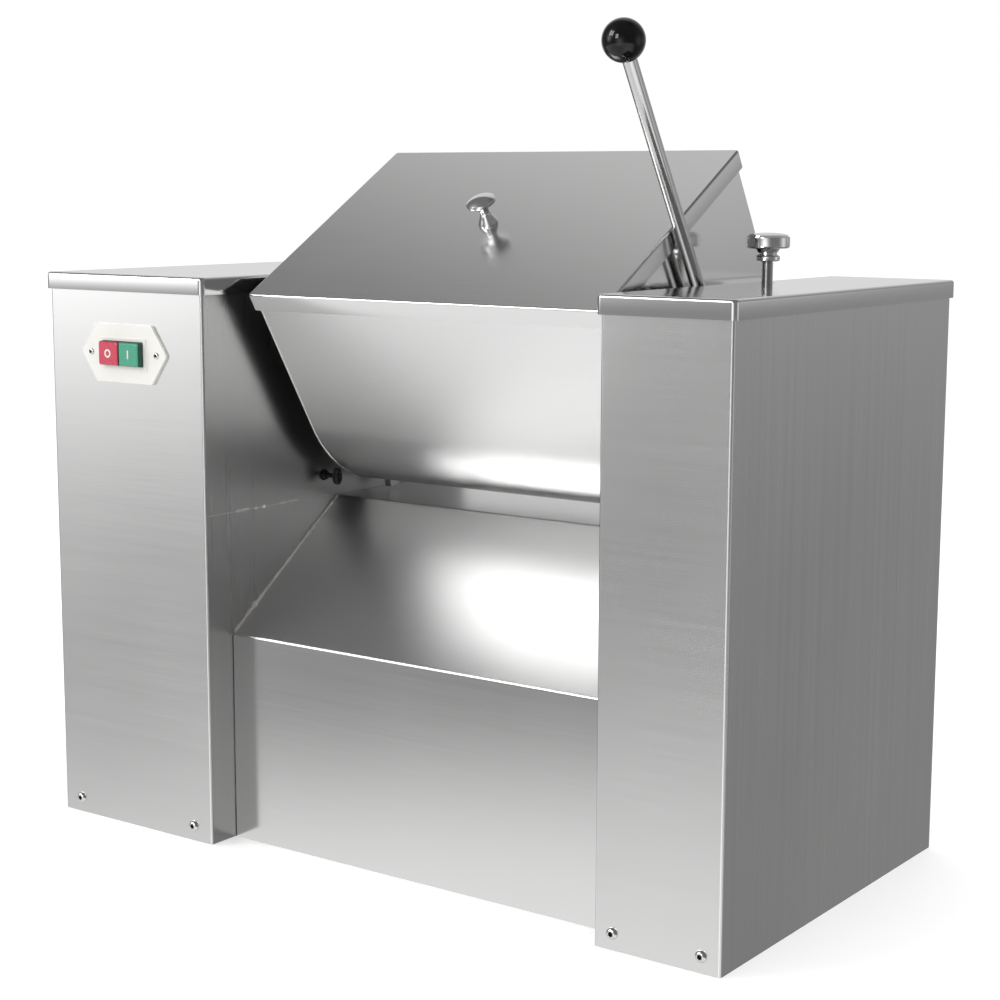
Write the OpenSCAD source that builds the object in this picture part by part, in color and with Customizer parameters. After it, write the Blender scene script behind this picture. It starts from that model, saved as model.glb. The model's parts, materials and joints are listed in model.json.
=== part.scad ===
// Trough blender with a paddle shaft between two sheet steel pedestals, in millimetres.
// X runs along the machine, Y from the front to the back, Z up from the floor.
// The drive is in the left pedestal, the tilt lock in the right one.

/* [Overall] */
// Height of the flat tops of both pedestals
cap_top = 600; // [540:1:720]
// Depth of the pedestal tops, front to back
depth = 455; // [430:1:560]
// Width of the drive pedestal's top
left_w = 232; // [190:1:280]
// Width of the lock pedestal's top
right_w = 141; // [115:1:180]
// Gap between the two tops
gap_w = 477; // [395:1:600]

/* [Sheet metal] */
// Thickness of the casing sheet
sheet = 1.5; // [1:0.1:2]
// Overhang of a top past its casing
cap_over = 3.5; // [3:0.1:6]
// Height of a top's folded lip
cap_lip = 18; // [12:1:30]
// Corner radius of a top, seen from above
cap_corner = 6; // [4:0.5:12]
// Outer bend radius of the casing corners
case_bend = 3; // [2.5:0.1:6]

/* [Frame] */
// Side of the square frame tube
rail = 25; // [20:1:30]
// Wall of the frame tube
rail_wall = 2; // [1.5:0.1:3]
// Thickness of the plates that carry the bearings
plate_t = 8; // [6:0.5:12]
// Height of the bearing plates below their top edge
plate_h = 272; // [262:1:300]

/* [Apron] */
// Set-back of the apron from the front edge of the tops
apron_back = 40.5; // [30:0.5:50]
// Height of the fold at the top of the apron
apron_h = 223; // [150:1:240]
// Ridge of the slope, in front of the trough's axis
ridge_front = 48; // [40:1:60]
// Gap between the trough's bottom and the floor sheet under it
floor_gap = 16.5; // [14:0.5:30]

/* [Trough] */
// Place of the trough's axis behind mid depth
axis_y = 34; // [20:1:40]
// Depth of the trough's axis below the pedestal tops
axis_drop = 94; // [88:1:110]
// Outer radius of the trough's round bottom
trough_r = 138.5; // [115:0.5:166.5]
// Thickness of the trough sheet
trough_sheet = 2; // [1.5:0.1:3]
// Thickness of the trough's end plates
end_t = 3; // [2:0.1:4]
// Clear space between the trough and the drive pedestal
clear_left = 25; // [22:1:35]
// Clear space between the trough and the lock pedestal
clear_right = 31; // [29:1:40]
// Forward lean of the trough at rest, in degrees
tilt_rest = 31; // [0:1:40]
// Further forward tilt for emptying, in degrees
tilt_more = 70; // [40:1:72]

/* [Lid] */
// Height of the lid's top above the trough's axis
lid_rise = 174.5; // [150:0.5:200]
// Overhang of the lid past the trough's long walls
lid_over = 5.7; // [5:0.1:9]
// Overhang of the lid past the trough's end plates
lid_end = 3.5; // [1.8:0.1:3.5]
// Height of the lid's lip
lid_lip = 19; // [12:0.5:25]
// Thickness of the lid sheet
lid_sheet = 1.2; // [1:0.1:1.5]
// Head diameter of the lid's knob
knob_d = 29; // [22:1:40]
// Height of the lid's knob
knob_h = 31; // [24:1:40]

/* [Lever] */
// Diameter of the lever rod
lever_d = 14; // [10:0.5:16]
// Lever rod, beside the trough's end plate, centre to plate
lever_off = 12; // [10:0.5:14]
// Distance from the trough's axis to the centre of the ball
lever_reach = 371.7; // [340:1:420]
// Lean of the lever past the trough's own upright, in degrees
lever_lean = 0.8; // [-2:0.1:6]
// Diameter of the ball
ball_d = 40; // [32:1:50]

/* [Lock screw] */
// Screw centre, in from the inner edge of the right top
lock_in = 23.5; // [22.5:0.5:26]
// Screw centre, behind the trough's axis
lock_back = 10; // [0:1:14]
// Thread diameter of the screw
lock_d = 12; // [10:1:14]
// Head diameter of the screw
lock_head_d = 43; // [36:1:50]
// Height of the head's top above the pedestal top
lock_rise = 49; // [44:1:60]
// Travel of the screw when it is undone
lock_travel = 10; // [6:1:10]
// Radius of the disc that the screw clamps
disc_r = 54; // [48:1:56]

/* [Switch] */
// Switch centre, in from the outer edge of the left top
switch_in = 116.5; // [90:1:125]
// Switch centre, below the pedestal tops
switch_drop = 83; // [60:1:200]
// Width of the switch plate, tip to tip
switch_w = 124; // [110:1:140]
// Height of the switch plate
switch_h = 62; // [54:1:75]
// Width of one button
button_w = 29.5; // [24:0.5:32]
// Height of one button
button_h = 25; // [20:0.5:30]
// Travel of a button
button_travel = 4; // [2:0.5:5]

/* [Drive] */
// Module of the gear pair
gear_module = 2; // [1.6:0.1:2.1]
// Teeth of the gear on the paddle shaft
gear_teeth = 57; // [48:1:60]
// Teeth of the pinion
pinion_teeth = 17; // [17:1:20]
// Face width of the gear
gear_w = 20; // [15:1:26]
// Outer radius of the belt round the large pulley
belt_r_large = 120; // [90:1:140]
// Outer radius of the belt round the motor pulley
belt_r_small = 30; // [26:1:40]

/* [Motor] */
// Height of the motor shaft above its feet
motor_h = 80; // [71:1:90]
// Radius of the motor's tube without its fins
motor_r = 62; // [55:1:68]
// Length of the motor's tube
motor_len = 168; // [140:1:200]
// Diameter of the motor shaft
motor_shaft_d = 19; // [14:1:22]

/* [Paddle] */
// Diameter of the paddle shaft
shaft_d = 35; // [30:1:36]
// Diameter of the paddle arms
arm_d = 16; // [12:1:20]
// Number of paddle arms
arm_count = 6; // [3:1:9]
// Gap between a blade and the trough's inner wall
blade_gap = 6; // [4:0.5:12]
// Length of a blade across the arm
blade_l = 56; // [40:1:64]
// Height of a blade along the arm
blade_h = 46; // [30:1:60]

/* [Hidden] */
$fn = 72;
over = 1;          // overrun of cuts
run = 0.05;        // radial clearance of a running fit
snug = 0.03;       // radial clearance of a fixed fit
part_gap = 0.3;    // space between pieces that only lie near each other

// Pedestals and casings, seen from above
total_w = left_w + gap_w + right_w;
left_x0 = -total_w / 2;
left_x1 = left_x0 + left_w;
right_x1 = total_w / 2;
right_x0 = right_x1 - right_w;
case_l0 = left_x0 + cap_over;
case_l1 = left_x1 - cap_over;
case_r0 = right_x0 + cap_over;
case_r1 = right_x1 - cap_over;
case_y = depth / 2 - cap_over;
case_top = cap_top - sheet;
in_l0 = case_l0 + sheet;
in_l1 = case_l1 - sheet;
in_r0 = case_r0 + sheet;
in_r1 = case_r1 - sheet;
in_y = case_y - sheet;

// Trough, apron and floor sheet, seen from the side
axis_z = cap_top - axis_drop;
trough_x0 = case_l1 + clear_left;
trough_x1 = case_r0 - clear_right;
mid_x = (trough_x0 + trough_x1) / 2;
rim_z = lid_rise - lid_sheet - part_gap;
apron_y = apron_back - depth / 2;
ridge_y = axis_y - ridge_front;
floor_z = axis_z - trough_r - floor_gap;
apron_gap = 1.2;

// Bearing plates and what they carry, measured outwards from the plates' outer faces
flange_t = 6;
flange_r = 50;
spigot_r = 38;
trunnion_r = 30;
trunnion_bore_r = 20;
bush_wall = 3;
housing_bolt_pcr = 44;
bolt_r = 4;
bolt_head_r = 6.5;
bolt_head_h = 8;
bolt_socket_r = 3.4;
trunnion_end = 4;
plate_l = in_l1 - plate_t;
plate_r = in_r0 + plate_t;

// Gear pair, countershaft and belt drive
gear_r = gear_module * gear_teeth / 2;
pinion_r = gear_module * pinion_teeth / 2;
gear_off = 26;
gear_x = plate_l - gear_off - gear_w;
counter_z = axis_z - gear_r - pinion_r;
counter_r = 10;
counter_bush_wall = 5;
counter_flange_r = 21;
counter_flange_t = 3;
outer_off = 76;
outer_x = plate_l - outer_off - plate_t;
outer_half_w = 110;
outer_up = 72;
outer_down = 146;
bearing_r = 35;
bearing_t = 12;
bearing_pcr = 27;
bearing_bolt_r = 3;
bearing_bolt_head_r = 5;
bearing_bolt_head_h = 6;
bearing_socket_r = 2.5;
journal_r = 12.5;
pulley_gap = 7;
pulley_w = 22;
pulley_x = outer_x - bearing_t - pulley_gap - pulley_w;
shaft_past_pulley = 2;
belt_w = 13;
belt_h = 8;
belt_play = 0.3;
rim_lip = 1;
pulley_rim = 9;
pulley_web = 8;
pulley_hub_r = 24;
motor_hub_r = 18;
pulley_hole_r = 20;
spacer_r = 10;
spacer_end_r = 6;
spacer_y = 94;
spacer_gap = 3.5;
spacer_up = case_top - rail - spacer_gap - spacer_r - axis_z;
spacer_down = 128;

// Motor, its bars and its middle rail
bar_w = 40;
bar_t = 6;
motor_foot_y = 62.5;
motor_z = rail + bar_t + motor_h;
motor_y = axis_y;
motor_front = outer_x;
tube_wall = 6;
fin_count = 28;
fin_h = 10;
fin_t = 2.5;
shield_t = 12;
shield_r = 66;
motor_x1 = motor_front + shield_t + motor_len;
stator_r = 38.5;
air_gap = 0.5;
stator_end = 35;
fan_r = 50;
fan_t = 20;
fan_hub_r = 16;
fan_blades = 7;
fan_blade_t = 2;
fan_gap = 6;
cover_r = 68;
cover_t = 1.5;
cover_len = 43;
slot_count = 16;
slot_w = 4;
slot_r0 = 22;
slot_r1 = 58;
foot_l = 110;
foot_t = 10;
foot_web_y = 46;
box_l = 84;
box_w = 80;
box_h = 34;
box_sink = 12;
box_wall = 3;
mid_rail_x = motor_x1 + shield_t + fan_gap;

// Casing screws, cable gland and vents
screw_z = 16;
screw_in_left = 26;
screw_in_right = 20;
screw_r = 3;
screw_head_r = 5.5;
screw_head_h = 3.3;
screw_socket_r = 2;
screw_tail = 5;
gland_x = case_l0 + left_w / 2;
gland_z = 70;
gland_r = 10;
gland_bore_r = 4.5;
gland_nut_r = 14;
gland_nut_t = 5;
gland_out = 12;
gland_in = 8;
vent_rows = 9;
vent_cols = 3;
vent_l = 90;
vent_h = 5;
vent_pitch_z = 16;
vent_pitch_x = 120;
vent_z = 110;

// Tilt stops on the wall and the ear on the trough that meets them
stop_radius = 148;
stop_angle = 28.6;
stop_stud_r = 4;
stop_pad_r = 8;
stop_pad_l = 12;
stop_short = 2.3;
ear_w = 14;
ear_t = 8;
ear_r0 = 96;
ear_tip = 152;
stop_margin = 0.5;
stop_touch = asin((ear_w / 2 + stop_pad_r) / stop_radius);
ear_angle = stop_angle - tilt_rest - stop_touch - stop_margin;
stop_angle_fwd = ear_angle - tilt_more - stop_touch - stop_margin;

// Lever and its hub
lever_x = trough_x1 + lever_off;
hub_w = 20;
hub_r = 42;
hub_boss_r = 9.5;
hub_boss_top = 66;
rod_seat = 38;
rod_tip_r = 5;
rod_tip_l = 16;
ball_flat = 18;
ball_hole = 18.5;

// Lock disc, pad, screw and bracket
disc_t = 8;
disc_x = plate_r + flange_t + part_gap;
disc_bore_r = 19;
disc_screw_pcr = 25;
disc_screw_r = 2.5;
disc_screw_head_r = 4.5;
disc_screw_head_h = 3;
disc_screw_l = 14;
lock_x = right_x0 + lock_in;
lock_y = axis_y + lock_back;
lock_r = lock_d / 2;
pad_r = 7;
pad_h = 5;
pad_nose_r = 4;
pad_nose_l = 3;
pad_high_y = max(lock_back - pad_r, 0);
pad_z = axis_z + sqrt(pow(disc_r, 2) - pow(pad_high_y, 2)) + part_gap;
bracket_z0 = pad_z + pad_h + lock_travel + over;
bracket_h = 16;
bracket_w = 40;
bracket_l = 25;
lock_head_h = 15.5;
lock_chamfer = 1.5;
lock_cone_h = 5.5;
lock_cone_r = 9;
lock_collar_r = 12;
lock_collar_h = 7;
lock_hole_r = 7.5;

// Switch
switch_x = left_x0 + switch_in;
switch_z = cap_top - switch_drop;
switch_plate_t = 3;
switch_flat = 86;
switch_round = 4;
switch_screw_x = 48;
switch_screw_r = 2;
switch_head_r = 4;
switch_head_h = 2;
switch_rim_w = 3.5;
switch_rim_t = 1.5;
switch_body_w = 72;
switch_body_h = 36;
switch_body_d = 42;
switch_body_wall = 3;
button_play = 0.5;
button_proud = 9;
button_in = 22;
button_bevel = 2;

// Lid knob and its nut
knob_flange_r = 8;
knob_flange_h = 2.5;
knob_neck_r = 4.2;
knob_head_h = 10;
knob_edge = 3;
knob_stud_r = 3;
knob_stud_l = 8;
nut_r = 5.8;
nut_h = 5;
washer_r = 8;
washer_t = 1.2;

// Paddle shaft, seals and blades
shaft_r = shaft_d / 2;
shaft_end_x = disc_x - part_gap * 4;
bush_inset = 5;
seal_flange_r = 28;
seal_flange_t = 3;
seal_r = 22;
blade_t = 4;
blade_pitch = 35;
arm_first = 60;
arm_turn = 120;
blade_out = trough_r - trough_sheet - blade_gap;
arm_step = (trough_x1 - trough_x0 - blade_l) / arm_count;

// Extrudes a section, drawn as seen along X with Y to the right and Z up
module along_x(x, len) {
    translate([x, 0, 0]) rotate([90, 0, 90]) linear_extrude(len) children();
}

// A ring or disc round an axis along X
module ring_x(x, len, y, z, r_out, r_in = 0) {
    along_x(x, len) translate([y, z]) {
        difference() {
            circle(r_out);
            if (r_in > 0) circle(r_in);
        }
    }
}

// The place of the trough's parts, which are drawn upright round the axis
module tilted() {
    translate([0, axis_y, axis_z]) rotate([tilt_rest, 0, 0]) children();
}

// A rectangle with round corners, centred
module round_rect(w, d, r) {
    square([w - 2 * r, d], center = true);
    square([w, d - 2 * r], center = true);
    for (sx = [-1, 1], sy = [-1, 1]) translate([sx * (w / 2 - r), sy * (d / 2 - r)]) circle(r);
}

// A box between two corners
module block(low, high) {
    translate(low) cube(high - low);
}

// One square frame tube between two corners, hollow along one axis: 0 is X, 1 is Y, 2 is Z
module tube(low, high, hollow) {
    in = [for (i = [0:2]) i == hollow ? -over : rail_wall];
    difference() {
        block(low, high);
        block(low + in, high - in);
    }
}

// The frame's corners are rounded to sit in the bends of the casings
module inside_casings(x0, x1) {
    intersection() {
        children();
        translate([(x0 + x1) / 2, 0, 0]) linear_extrude(case_top) {
            round_rect(x1 - x0, 2 * in_y, case_bend - sheet);
        }
    }
}

// Frame
module base_x_rails() {
    color("dimgray") {
        tube([in_l1, apron_y + sheet, 0], [in_r0, apron_y + sheet + rail, rail], 0);
        difference() {
            for (x = [[in_l0, in_l1], [in_r0, in_r1]]) inside_casings(x[0], x[1]) {
                tube([x[0], -in_y, 0], [x[1], -in_y + rail, rail], 0);
            }
            casing_screw_places() cylinder(r = screw_r + snug, h = rail);
        }
        difference() {
            inside_casings(in_l0, in_r1) tube([in_l0, in_y - rail, 0], [in_r1, in_y, rail], 0);
            casing_screw_places() cylinder(r = screw_r + snug, h = rail);
        }
    }
}

module base_y_rails() {
    color("dimgray") {
        for (x = [in_l0, in_l1 - rail, in_r0, in_r1 - rail]) {
            tube([x, -in_y + rail, 0], [x + rail, in_y - rail, rail], 1);
        }
        y0 = apron_y + sheet + rail;
        tube([mid_rail_x, y0, 0], [mid_rail_x + rail, in_y - rail, rail], 1);
    }
}

module frame_uprights() {
    color("dimgray") for (x = [[in_l0, in_l1], [in_r0, in_r1]]) inside_casings(x[0], x[1]) {
        for (x0 = [x[0], x[1] - rail], y0 = [-in_y, in_y - rail]) {
            top = x0 == in_r0 ? case_top : case_top - rail;
            tube([x0, y0, rail], [x0 + rail, y0 + rail, top], 2);
        }
    }
}

module frame_top_rails() {
    color("dimgray") {
        inside_casings(in_l0, in_l1) for (x = [in_l0, in_l1 - rail]) {
            tube([x, -in_y, case_top - rail], [x + rail, in_y, case_top], 1);
        }
        inside_casings(in_r0, in_r1) {
            tube([in_r1 - rail, -in_y, case_top - rail], [in_r1, in_y, case_top], 1);
        }
    }
}

module motor_bars() {
    color("gray") {
        for (s = [-1, 1]) {
            y = motor_y + s * motor_foot_y - bar_w / 2;
            block([in_l0, y, rail], [mid_rail_x + rail, y + bar_w, rail + bar_t]);
        }
    }
}

// Bearing plates, in the side view
module housing_bolt_places() {
    for (a = [45:90:315]) translate([axis_y, axis_z] + housing_bolt_pcr * [cos(a), sin(a)]) children();
}

module spacer_places() {
    for (s = [-1, 1], z = [spacer_up, -spacer_down]) {
        translate([axis_y + s * spacer_y, axis_z + z]) children();
    }
}

module bearing_bolt_places() {
    for (z = [axis_z, counter_z], a = [0, 180]) {
        translate([axis_y, z] + bearing_pcr * [cos(a), sin(a)]) children();
    }
}

module plate_section(y0, y1, z0) {
    difference() {
        translate([y0, z0]) square([y1 - y0, plate_h]);
        translate([axis_y, axis_z]) circle(spigot_r + snug);
        housing_bolt_places() circle(bolt_r + snug);
    }
}

module left_bearing_plate() {
    z0 = case_top - rail - plate_h + rail;
    color("silver") difference() {
        along_x(plate_l, plate_t) difference() {
            plate_section(-in_y + rail, in_y - rail, z0);
            translate([axis_y, counter_z]) circle(counter_r + counter_bush_wall + snug);
            spacer_places() circle(spacer_end_r + snug);
            stop_places() circle(stop_stud_r + snug);
        }
        block([plate_l - over, -in_y, case_top - rail], [in_l1 + over, in_y, cap_top]);
    }
}

module right_bearing_plate() {
    z0 = case_top - plate_h;
    color("silver") along_x(in_r0, plate_t) plate_section(-in_y + rail, in_y - rail, z0);
}

module outer_bearing_plate() {
    color("silver") along_x(outer_x, plate_t) difference() {
        translate([axis_y - outer_half_w, axis_z - outer_down]) {
            square([2 * outer_half_w, outer_up + outer_down]);
        }
        translate([axis_y, axis_z]) circle(journal_r + bush_wall);
        translate([axis_y, counter_z]) circle(counter_r + bush_wall);
        spacer_places() circle(spacer_end_r + snug);
        bearing_bolt_places() circle(bearing_bolt_r + snug);
    }
}

module plate_spacers() {
    color("silver") {
        along_x(outer_x + plate_t, outer_off) spacer_places() circle(spacer_r);
        along_x(outer_x, outer_off + 2 * plate_t) spacer_places() circle(spacer_end_r);
    }
}

// Casings and tops
module sleeve(x0, x1) {
    translate([(x0 + x1) / 2, 0, 0]) linear_extrude(case_top) difference() {
        round_rect(x1 - x0, 2 * case_y, case_bend);
        round_rect(x1 - x0 - 2 * sheet, 2 * in_y, case_bend - sheet);
    }
}

// The opening under the apron through which both pedestals and the base are one space
module under_apron() {
    edge = rail / 2;
    polygon([
        [apron_y + rail + edge, -over],
        [apron_y + rail + edge, apron_h - rail],
        [ridge_y + edge, floor_z - rail],
        [in_y - rail, floor_z - rail],
        [in_y - rail, -over],
    ]);
    translate([apron_y + sheet, -over]) square([in_y - apron_y - sheet, rail + over]);
}

// Places of the casing screws, with Z pointing into the machine
module casing_screw_places() {
    xs = [
        case_l0 + screw_in_left, case_l1 - screw_in_left,
        case_r0 + screw_in_right, case_r1 - screw_in_right,
    ];
    for (x = xs) {
        translate([x, -case_y, screw_z]) rotate([-90, 0, 0]) children();
        translate([x, case_y, screw_z]) rotate([90, 0, 0]) children();
    }
}

module left_casing() {
    color("lightgray") difference() {
        sleeve(case_l0, case_l1);
        along_x(in_l1 - case_bend, sheet + 2 * case_bend) {
            translate([axis_y, axis_z]) circle(spigot_r);
            under_apron();
            stop_places() circle(stop_stud_r + snug);
        }
        casing_screw_places() translate([0, 0, -over]) cylinder(r = screw_r + snug, h = sheet + 2 * over);
        translate([switch_x, -case_y - over, switch_z]) rotate([-90, 0, 0]) {
            linear_extrude(sheet + 2 * over) {
                square([switch_body_w + 2 * snug, switch_body_h + 2 * snug], center = true);
                for (s = [-1, 1]) translate([s * switch_screw_x, 0]) circle(switch_screw_r + snug);
            }
        }
        translate([gland_x, in_y - over, gland_z]) rotate([-90, 0, 0]) {
            cylinder(r = gland_r + snug, h = sheet + 2 * over);
        }
    }
}

module right_casing() {
    color("lightgray") difference() {
        sleeve(case_r0, case_r1);
        along_x(case_r0 - case_bend, sheet + 2 * case_bend) {
            translate([axis_y, axis_z]) circle(spigot_r);
            under_apron();
        }
        casing_screw_places() translate([0, 0, -over]) cylinder(r = screw_r + snug, h = sheet + 2 * over);
    }
}

module cap(x0, x1) {
    w = x1 - x0;
    translate([(x0 + x1) / 2, 0, cap_top - cap_lip]) difference() {
        linear_extrude(cap_lip) round_rect(w, depth, cap_corner);
        translate([0, 0, -over]) linear_extrude(cap_lip - sheet + over) {
            round_rect(w - 2 * sheet, depth - 2 * sheet, cap_corner - sheet);
        }
    }
}

module left_cap() {
    color("whitesmoke") cap(left_x0, left_x1);
}

module right_cap() {
    color("whitesmoke") difference() {
        cap(right_x0, right_x1);
        translate([lock_x, lock_y, case_top - over]) cylinder(r = lock_hole_r, h = sheet + 2 * over);
    }
}

// Moves a bend point inwards so that a folded sheet keeps its thickness
function turned(v) = [v[1], -v[0]] / norm(v);
function inner_bend(a, b, c, t) =
    let (n = turned(b - a), m = turned(c - b)) b + t * (n + m) / (1 + n * m);

module apron_panel() {
    a = [apron_y, 0];
    b = [apron_y, apron_h];
    c = [ridge_y, floor_z];
    d = [in_y, floor_z];
    color("gainsboro") along_x(case_l1 + apron_gap, case_r0 - case_l1 - 2 * apron_gap) polygon([
        a, b, c, d,
        d - [0, sheet], inner_bend(b, c, d, sheet), inner_bend(a, b, c, sheet), a + [sheet, 0],
    ]);
}

module rear_panel() {
    x0 = case_l1 + apron_gap;
    x1 = case_r0 - apron_gap;
    color("gainsboro") difference() {
        block([x0, in_y, 0], [x1, case_y, floor_z]);
        for (i = [0:vent_cols - 1], j = [0:vent_rows - 1]) {
            x = (x0 + x1) / 2 + (i - (vent_cols - 1) / 2) * vent_pitch_x;
            z = vent_z + j * vent_pitch_z;
            translate([x, in_y - over, z]) rotate([-90, 0, 0]) linear_extrude(sheet + 2 * over) {
                square([vent_l, vent_h], center = true);
                for (s = [-1, 1]) translate([s * vent_l / 2, 0]) circle(vent_h / 2);
            }
        }
    }
}

module dome_screw(r, head_r, head_h, len, socket_r) {
    difference() {
        union() {
            translate([0, 0, -head_h / 2]) cylinder(r = head_r, h = head_h / 2);
            translate([0, 0, -head_h]) cylinder(r1 = head_r * 0.6, r2 = head_r, h = head_h / 2);
            cylinder(r = r, h = len);
        }
        translate([0, 0, -head_h - over]) cylinder(r = socket_r, h = head_h * 0.7 + over, $fn = 6);
    }
}

module casing_screws() {
    len = sheet + rail_wall + screw_tail;
    color("silver") casing_screw_places() dome_screw(screw_r, screw_head_r, screw_head_h, len, screw_socket_r);
}

// Tilt stops on the left wall: one for the upright trough, one for the emptied one
module stop_places() {
    for (a = [stop_angle, stop_angle_fwd]) {
        translate([axis_y - stop_radius * sin(a), axis_z - stop_radius * cos(a)]) children();
    }
}

module tilt_stops() {
    len = clear_left - stop_short;
    color("#202020") {
        along_x(plate_l, plate_t + sheet + len - stop_pad_l) stop_places() circle(stop_stud_r);
        along_x(case_l1 + len - stop_pad_l, stop_pad_l) stop_places() circle(stop_pad_r);
    }
}

// Bearings of the trough
module trunnion_housing() {
    difference() {
        union() {
            along_x(0, flange_t) circle(flange_r);
            along_x(-plate_t, plate_t) circle(spigot_r);
        }
        along_x(-plate_t - over, plate_t + flange_t + 2 * over) {
            circle(trunnion_r + bush_wall + snug);
            for (a = [45:90:315]) translate(housing_bolt_pcr * [cos(a), sin(a)]) circle(bolt_r + snug);
        }
    }
}

module trunnion_housings() {
    color("slategray") {
        translate([plate_l, axis_y, axis_z]) mirror([1, 0, 0]) trunnion_housing();
        translate([plate_r, axis_y, axis_z]) trunnion_housing();
    }
}

module trunnion_bushes() {
    len = plate_t + flange_t;
    color("peru") {
        ring_x(plate_l - flange_t, len, axis_y, axis_z, trunnion_r + bush_wall, trunnion_r + run);
        ring_x(in_r0, len, axis_y, axis_z, trunnion_r + bush_wall, trunnion_r + run);
    }
}

module socket_bolt(r, head_r, head_h, len, socket_r) {
    difference() {
        union() {
            cylinder(r = head_r, h = head_h);
            translate([0, 0, -len]) cylinder(r = r, h = len);
        }
        translate([0, 0, head_h / 2]) cylinder(r = socket_r, h = head_h, $fn = 6);
    }
}

module bearing_bolts() {
    len = plate_t + flange_t;
    color("darkslategray") {
        for (a = [45:90:315]) {
            p = [0, housing_bolt_pcr * cos(a), housing_bolt_pcr * sin(a)];
            translate([plate_l - flange_t, axis_y, axis_z] + p) rotate([0, -90, 0]) {
                socket_bolt(bolt_r, bolt_head_r, bolt_head_h, len, bolt_socket_r);
            }
            translate([plate_r + flange_t, axis_y, axis_z] + p) {
                rotate([0, 90, 0]) translate([0, 0, -len]) cylinder(r = bolt_r, h = len);
            }
        }
        for (z = [axis_z, counter_z], s = [-1, 1]) {
            translate([outer_x - bearing_t, axis_y + s * bearing_pcr, z]) rotate([0, -90, 0]) {
                socket_bolt(
                    bearing_bolt_r, bearing_bolt_head_r, bearing_bolt_head_h,
                    plate_t + bearing_t, bearing_socket_r
                );
            }
        }
    }
}

// The countershaft's bush in the left plate, and the two bearings on the outer plate
module shaft_bearings() {
    x = outer_x - bearing_t;
    color("peru") {
        ring_x(plate_l, plate_t, axis_y, counter_z, counter_r + counter_bush_wall, counter_r + run);
        ring_x(
            plate_l - counter_flange_t, counter_flange_t,
            axis_y, counter_z, counter_flange_r, counter_r + run
        );
        for (b = [[axis_z, journal_r], [counter_z, counter_r]]) difference() {
            union() {
                ring_x(x, bearing_t, axis_y, b[0], bearing_r, b[1] + run);
                ring_x(x, bearing_t + plate_t, axis_y, b[0], b[1] + bush_wall - snug, b[1] + run);
            }
            along_x(x - over, bearing_t + plate_t + 2 * over) {
                bearing_bolt_places() circle(bearing_bolt_r + snug);
            }
        }
    }
}

// Switch, in the front view with Z pointing out of the machine
module on_switch() {
    translate([switch_x, -case_y, switch_z]) rotate([90, 0, 0]) children();
}

module switch_plate() {
    window = [2 * button_w + 2 * button_play + button_play, button_h + 2 * button_play];
    color("ivory") on_switch() difference() {
        union() {
            linear_extrude(switch_plate_t) hull() {
                for (s = [-1, 1]) {
                    translate([s * (switch_w / 2 - switch_round), 0]) circle(switch_round);
                    for (t = [-1, 1]) translate([
                        s * (switch_flat / 2 - switch_round), t * (switch_h / 2 - switch_round),
                    ]) circle(switch_round);
                }
            }
            linear_extrude(switch_plate_t + switch_rim_t) {
                square(window + [2, 2] * switch_rim_w, center = true);
            }
        }
        translate([0, 0, -over]) linear_extrude(switch_plate_t + switch_rim_t + 2 * over) {
            square(window, center = true);
            for (s = [-1, 1]) translate([s * switch_screw_x, 0]) circle(switch_screw_r + snug);
        }
    }
}

module switch_body() {
    window = [2 * button_w + 3 * button_play, button_h + 2 * button_play];
    color("#303030") on_switch() difference() {
        translate([0, 0, -switch_body_d]) {
            linear_extrude(switch_body_d) square([switch_body_w, switch_body_h], center = true);
        }
        translate([0, 0, -switch_body_d + switch_body_wall]) {
            linear_extrude(switch_body_d) square(window, center = true);
        }
    }
}

module switch_screws() {
    color("silver") on_switch() for (s = [-1, 1]) translate([s * switch_screw_x, 0, switch_plate_t]) {
        rotate([180, 0, 0]) dome_screw(
            switch_screw_r, switch_head_r, switch_head_h,
            switch_plate_t + sheet + screw_tail, switch_screw_r * 0.6
        );
    }
}

module button(side) {
    x = side * (button_w + button_play) / 2;
    front = switch_plate_t + button_proud;
    color(side < 0 ? "crimson" : "seagreen") on_switch() translate([x, 0, 0]) {
        translate([0, 0, -button_in]) linear_extrude(button_in + front - button_bevel) {
            square([button_w, button_h], center = true);
        }
        hull() {
            translate([0, 0, front - button_bevel]) linear_extrude(button_bevel / 4) {
                square([button_w, button_h], center = true);
            }
            translate([0, 0, front - button_bevel / 4]) linear_extrude(button_bevel / 4) {
                square([button_w, button_h] - [2, 2] * button_bevel, center = true);
            }
        }
    }
}

module start_button() {
    button(1);
}

module stop_button() {
    button(-1);
}

module cable_gland() {
    color("#282828") translate([gland_x, case_y, gland_z]) rotate([-90, 0, 0]) difference() {
        union() {
            translate([0, 0, -sheet - gland_in]) cylinder(r = gland_r, h = sheet + gland_in + gland_out);
            cylinder(r = gland_nut_r, h = gland_nut_t, $fn = 6);
            translate([0, 0, -sheet - gland_nut_t]) cylinder(r = gland_nut_r, h = gland_nut_t, $fn = 6);
        }
        translate([0, 0, -sheet - gland_in - over]) {
            cylinder(r = gland_bore_r, h = sheet + gland_in + gland_out + 2 * over);
        }
    }
}

// Lock bracket on the right bearing plate
module lock_bracket() {
    color("slategray") difference() {
        block(
            [plate_r, lock_y - bracket_w / 2, bracket_z0],
            [plate_r + bracket_l, lock_y + bracket_w / 2, bracket_z0 + bracket_h]
        );
        translate([lock_x, lock_y, bracket_z0 - over]) cylinder(r = lock_r + run, h = bracket_h + 2 * over);
    }
}

module lock_pad() {
    color("goldenrod") translate([lock_x, lock_y, pad_z]) difference() {
        cylinder(r = pad_r, h = pad_h);
        translate([0, 0, pad_h - pad_nose_l]) cylinder(r = pad_nose_r + run, h = pad_h);
    }
}

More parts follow.
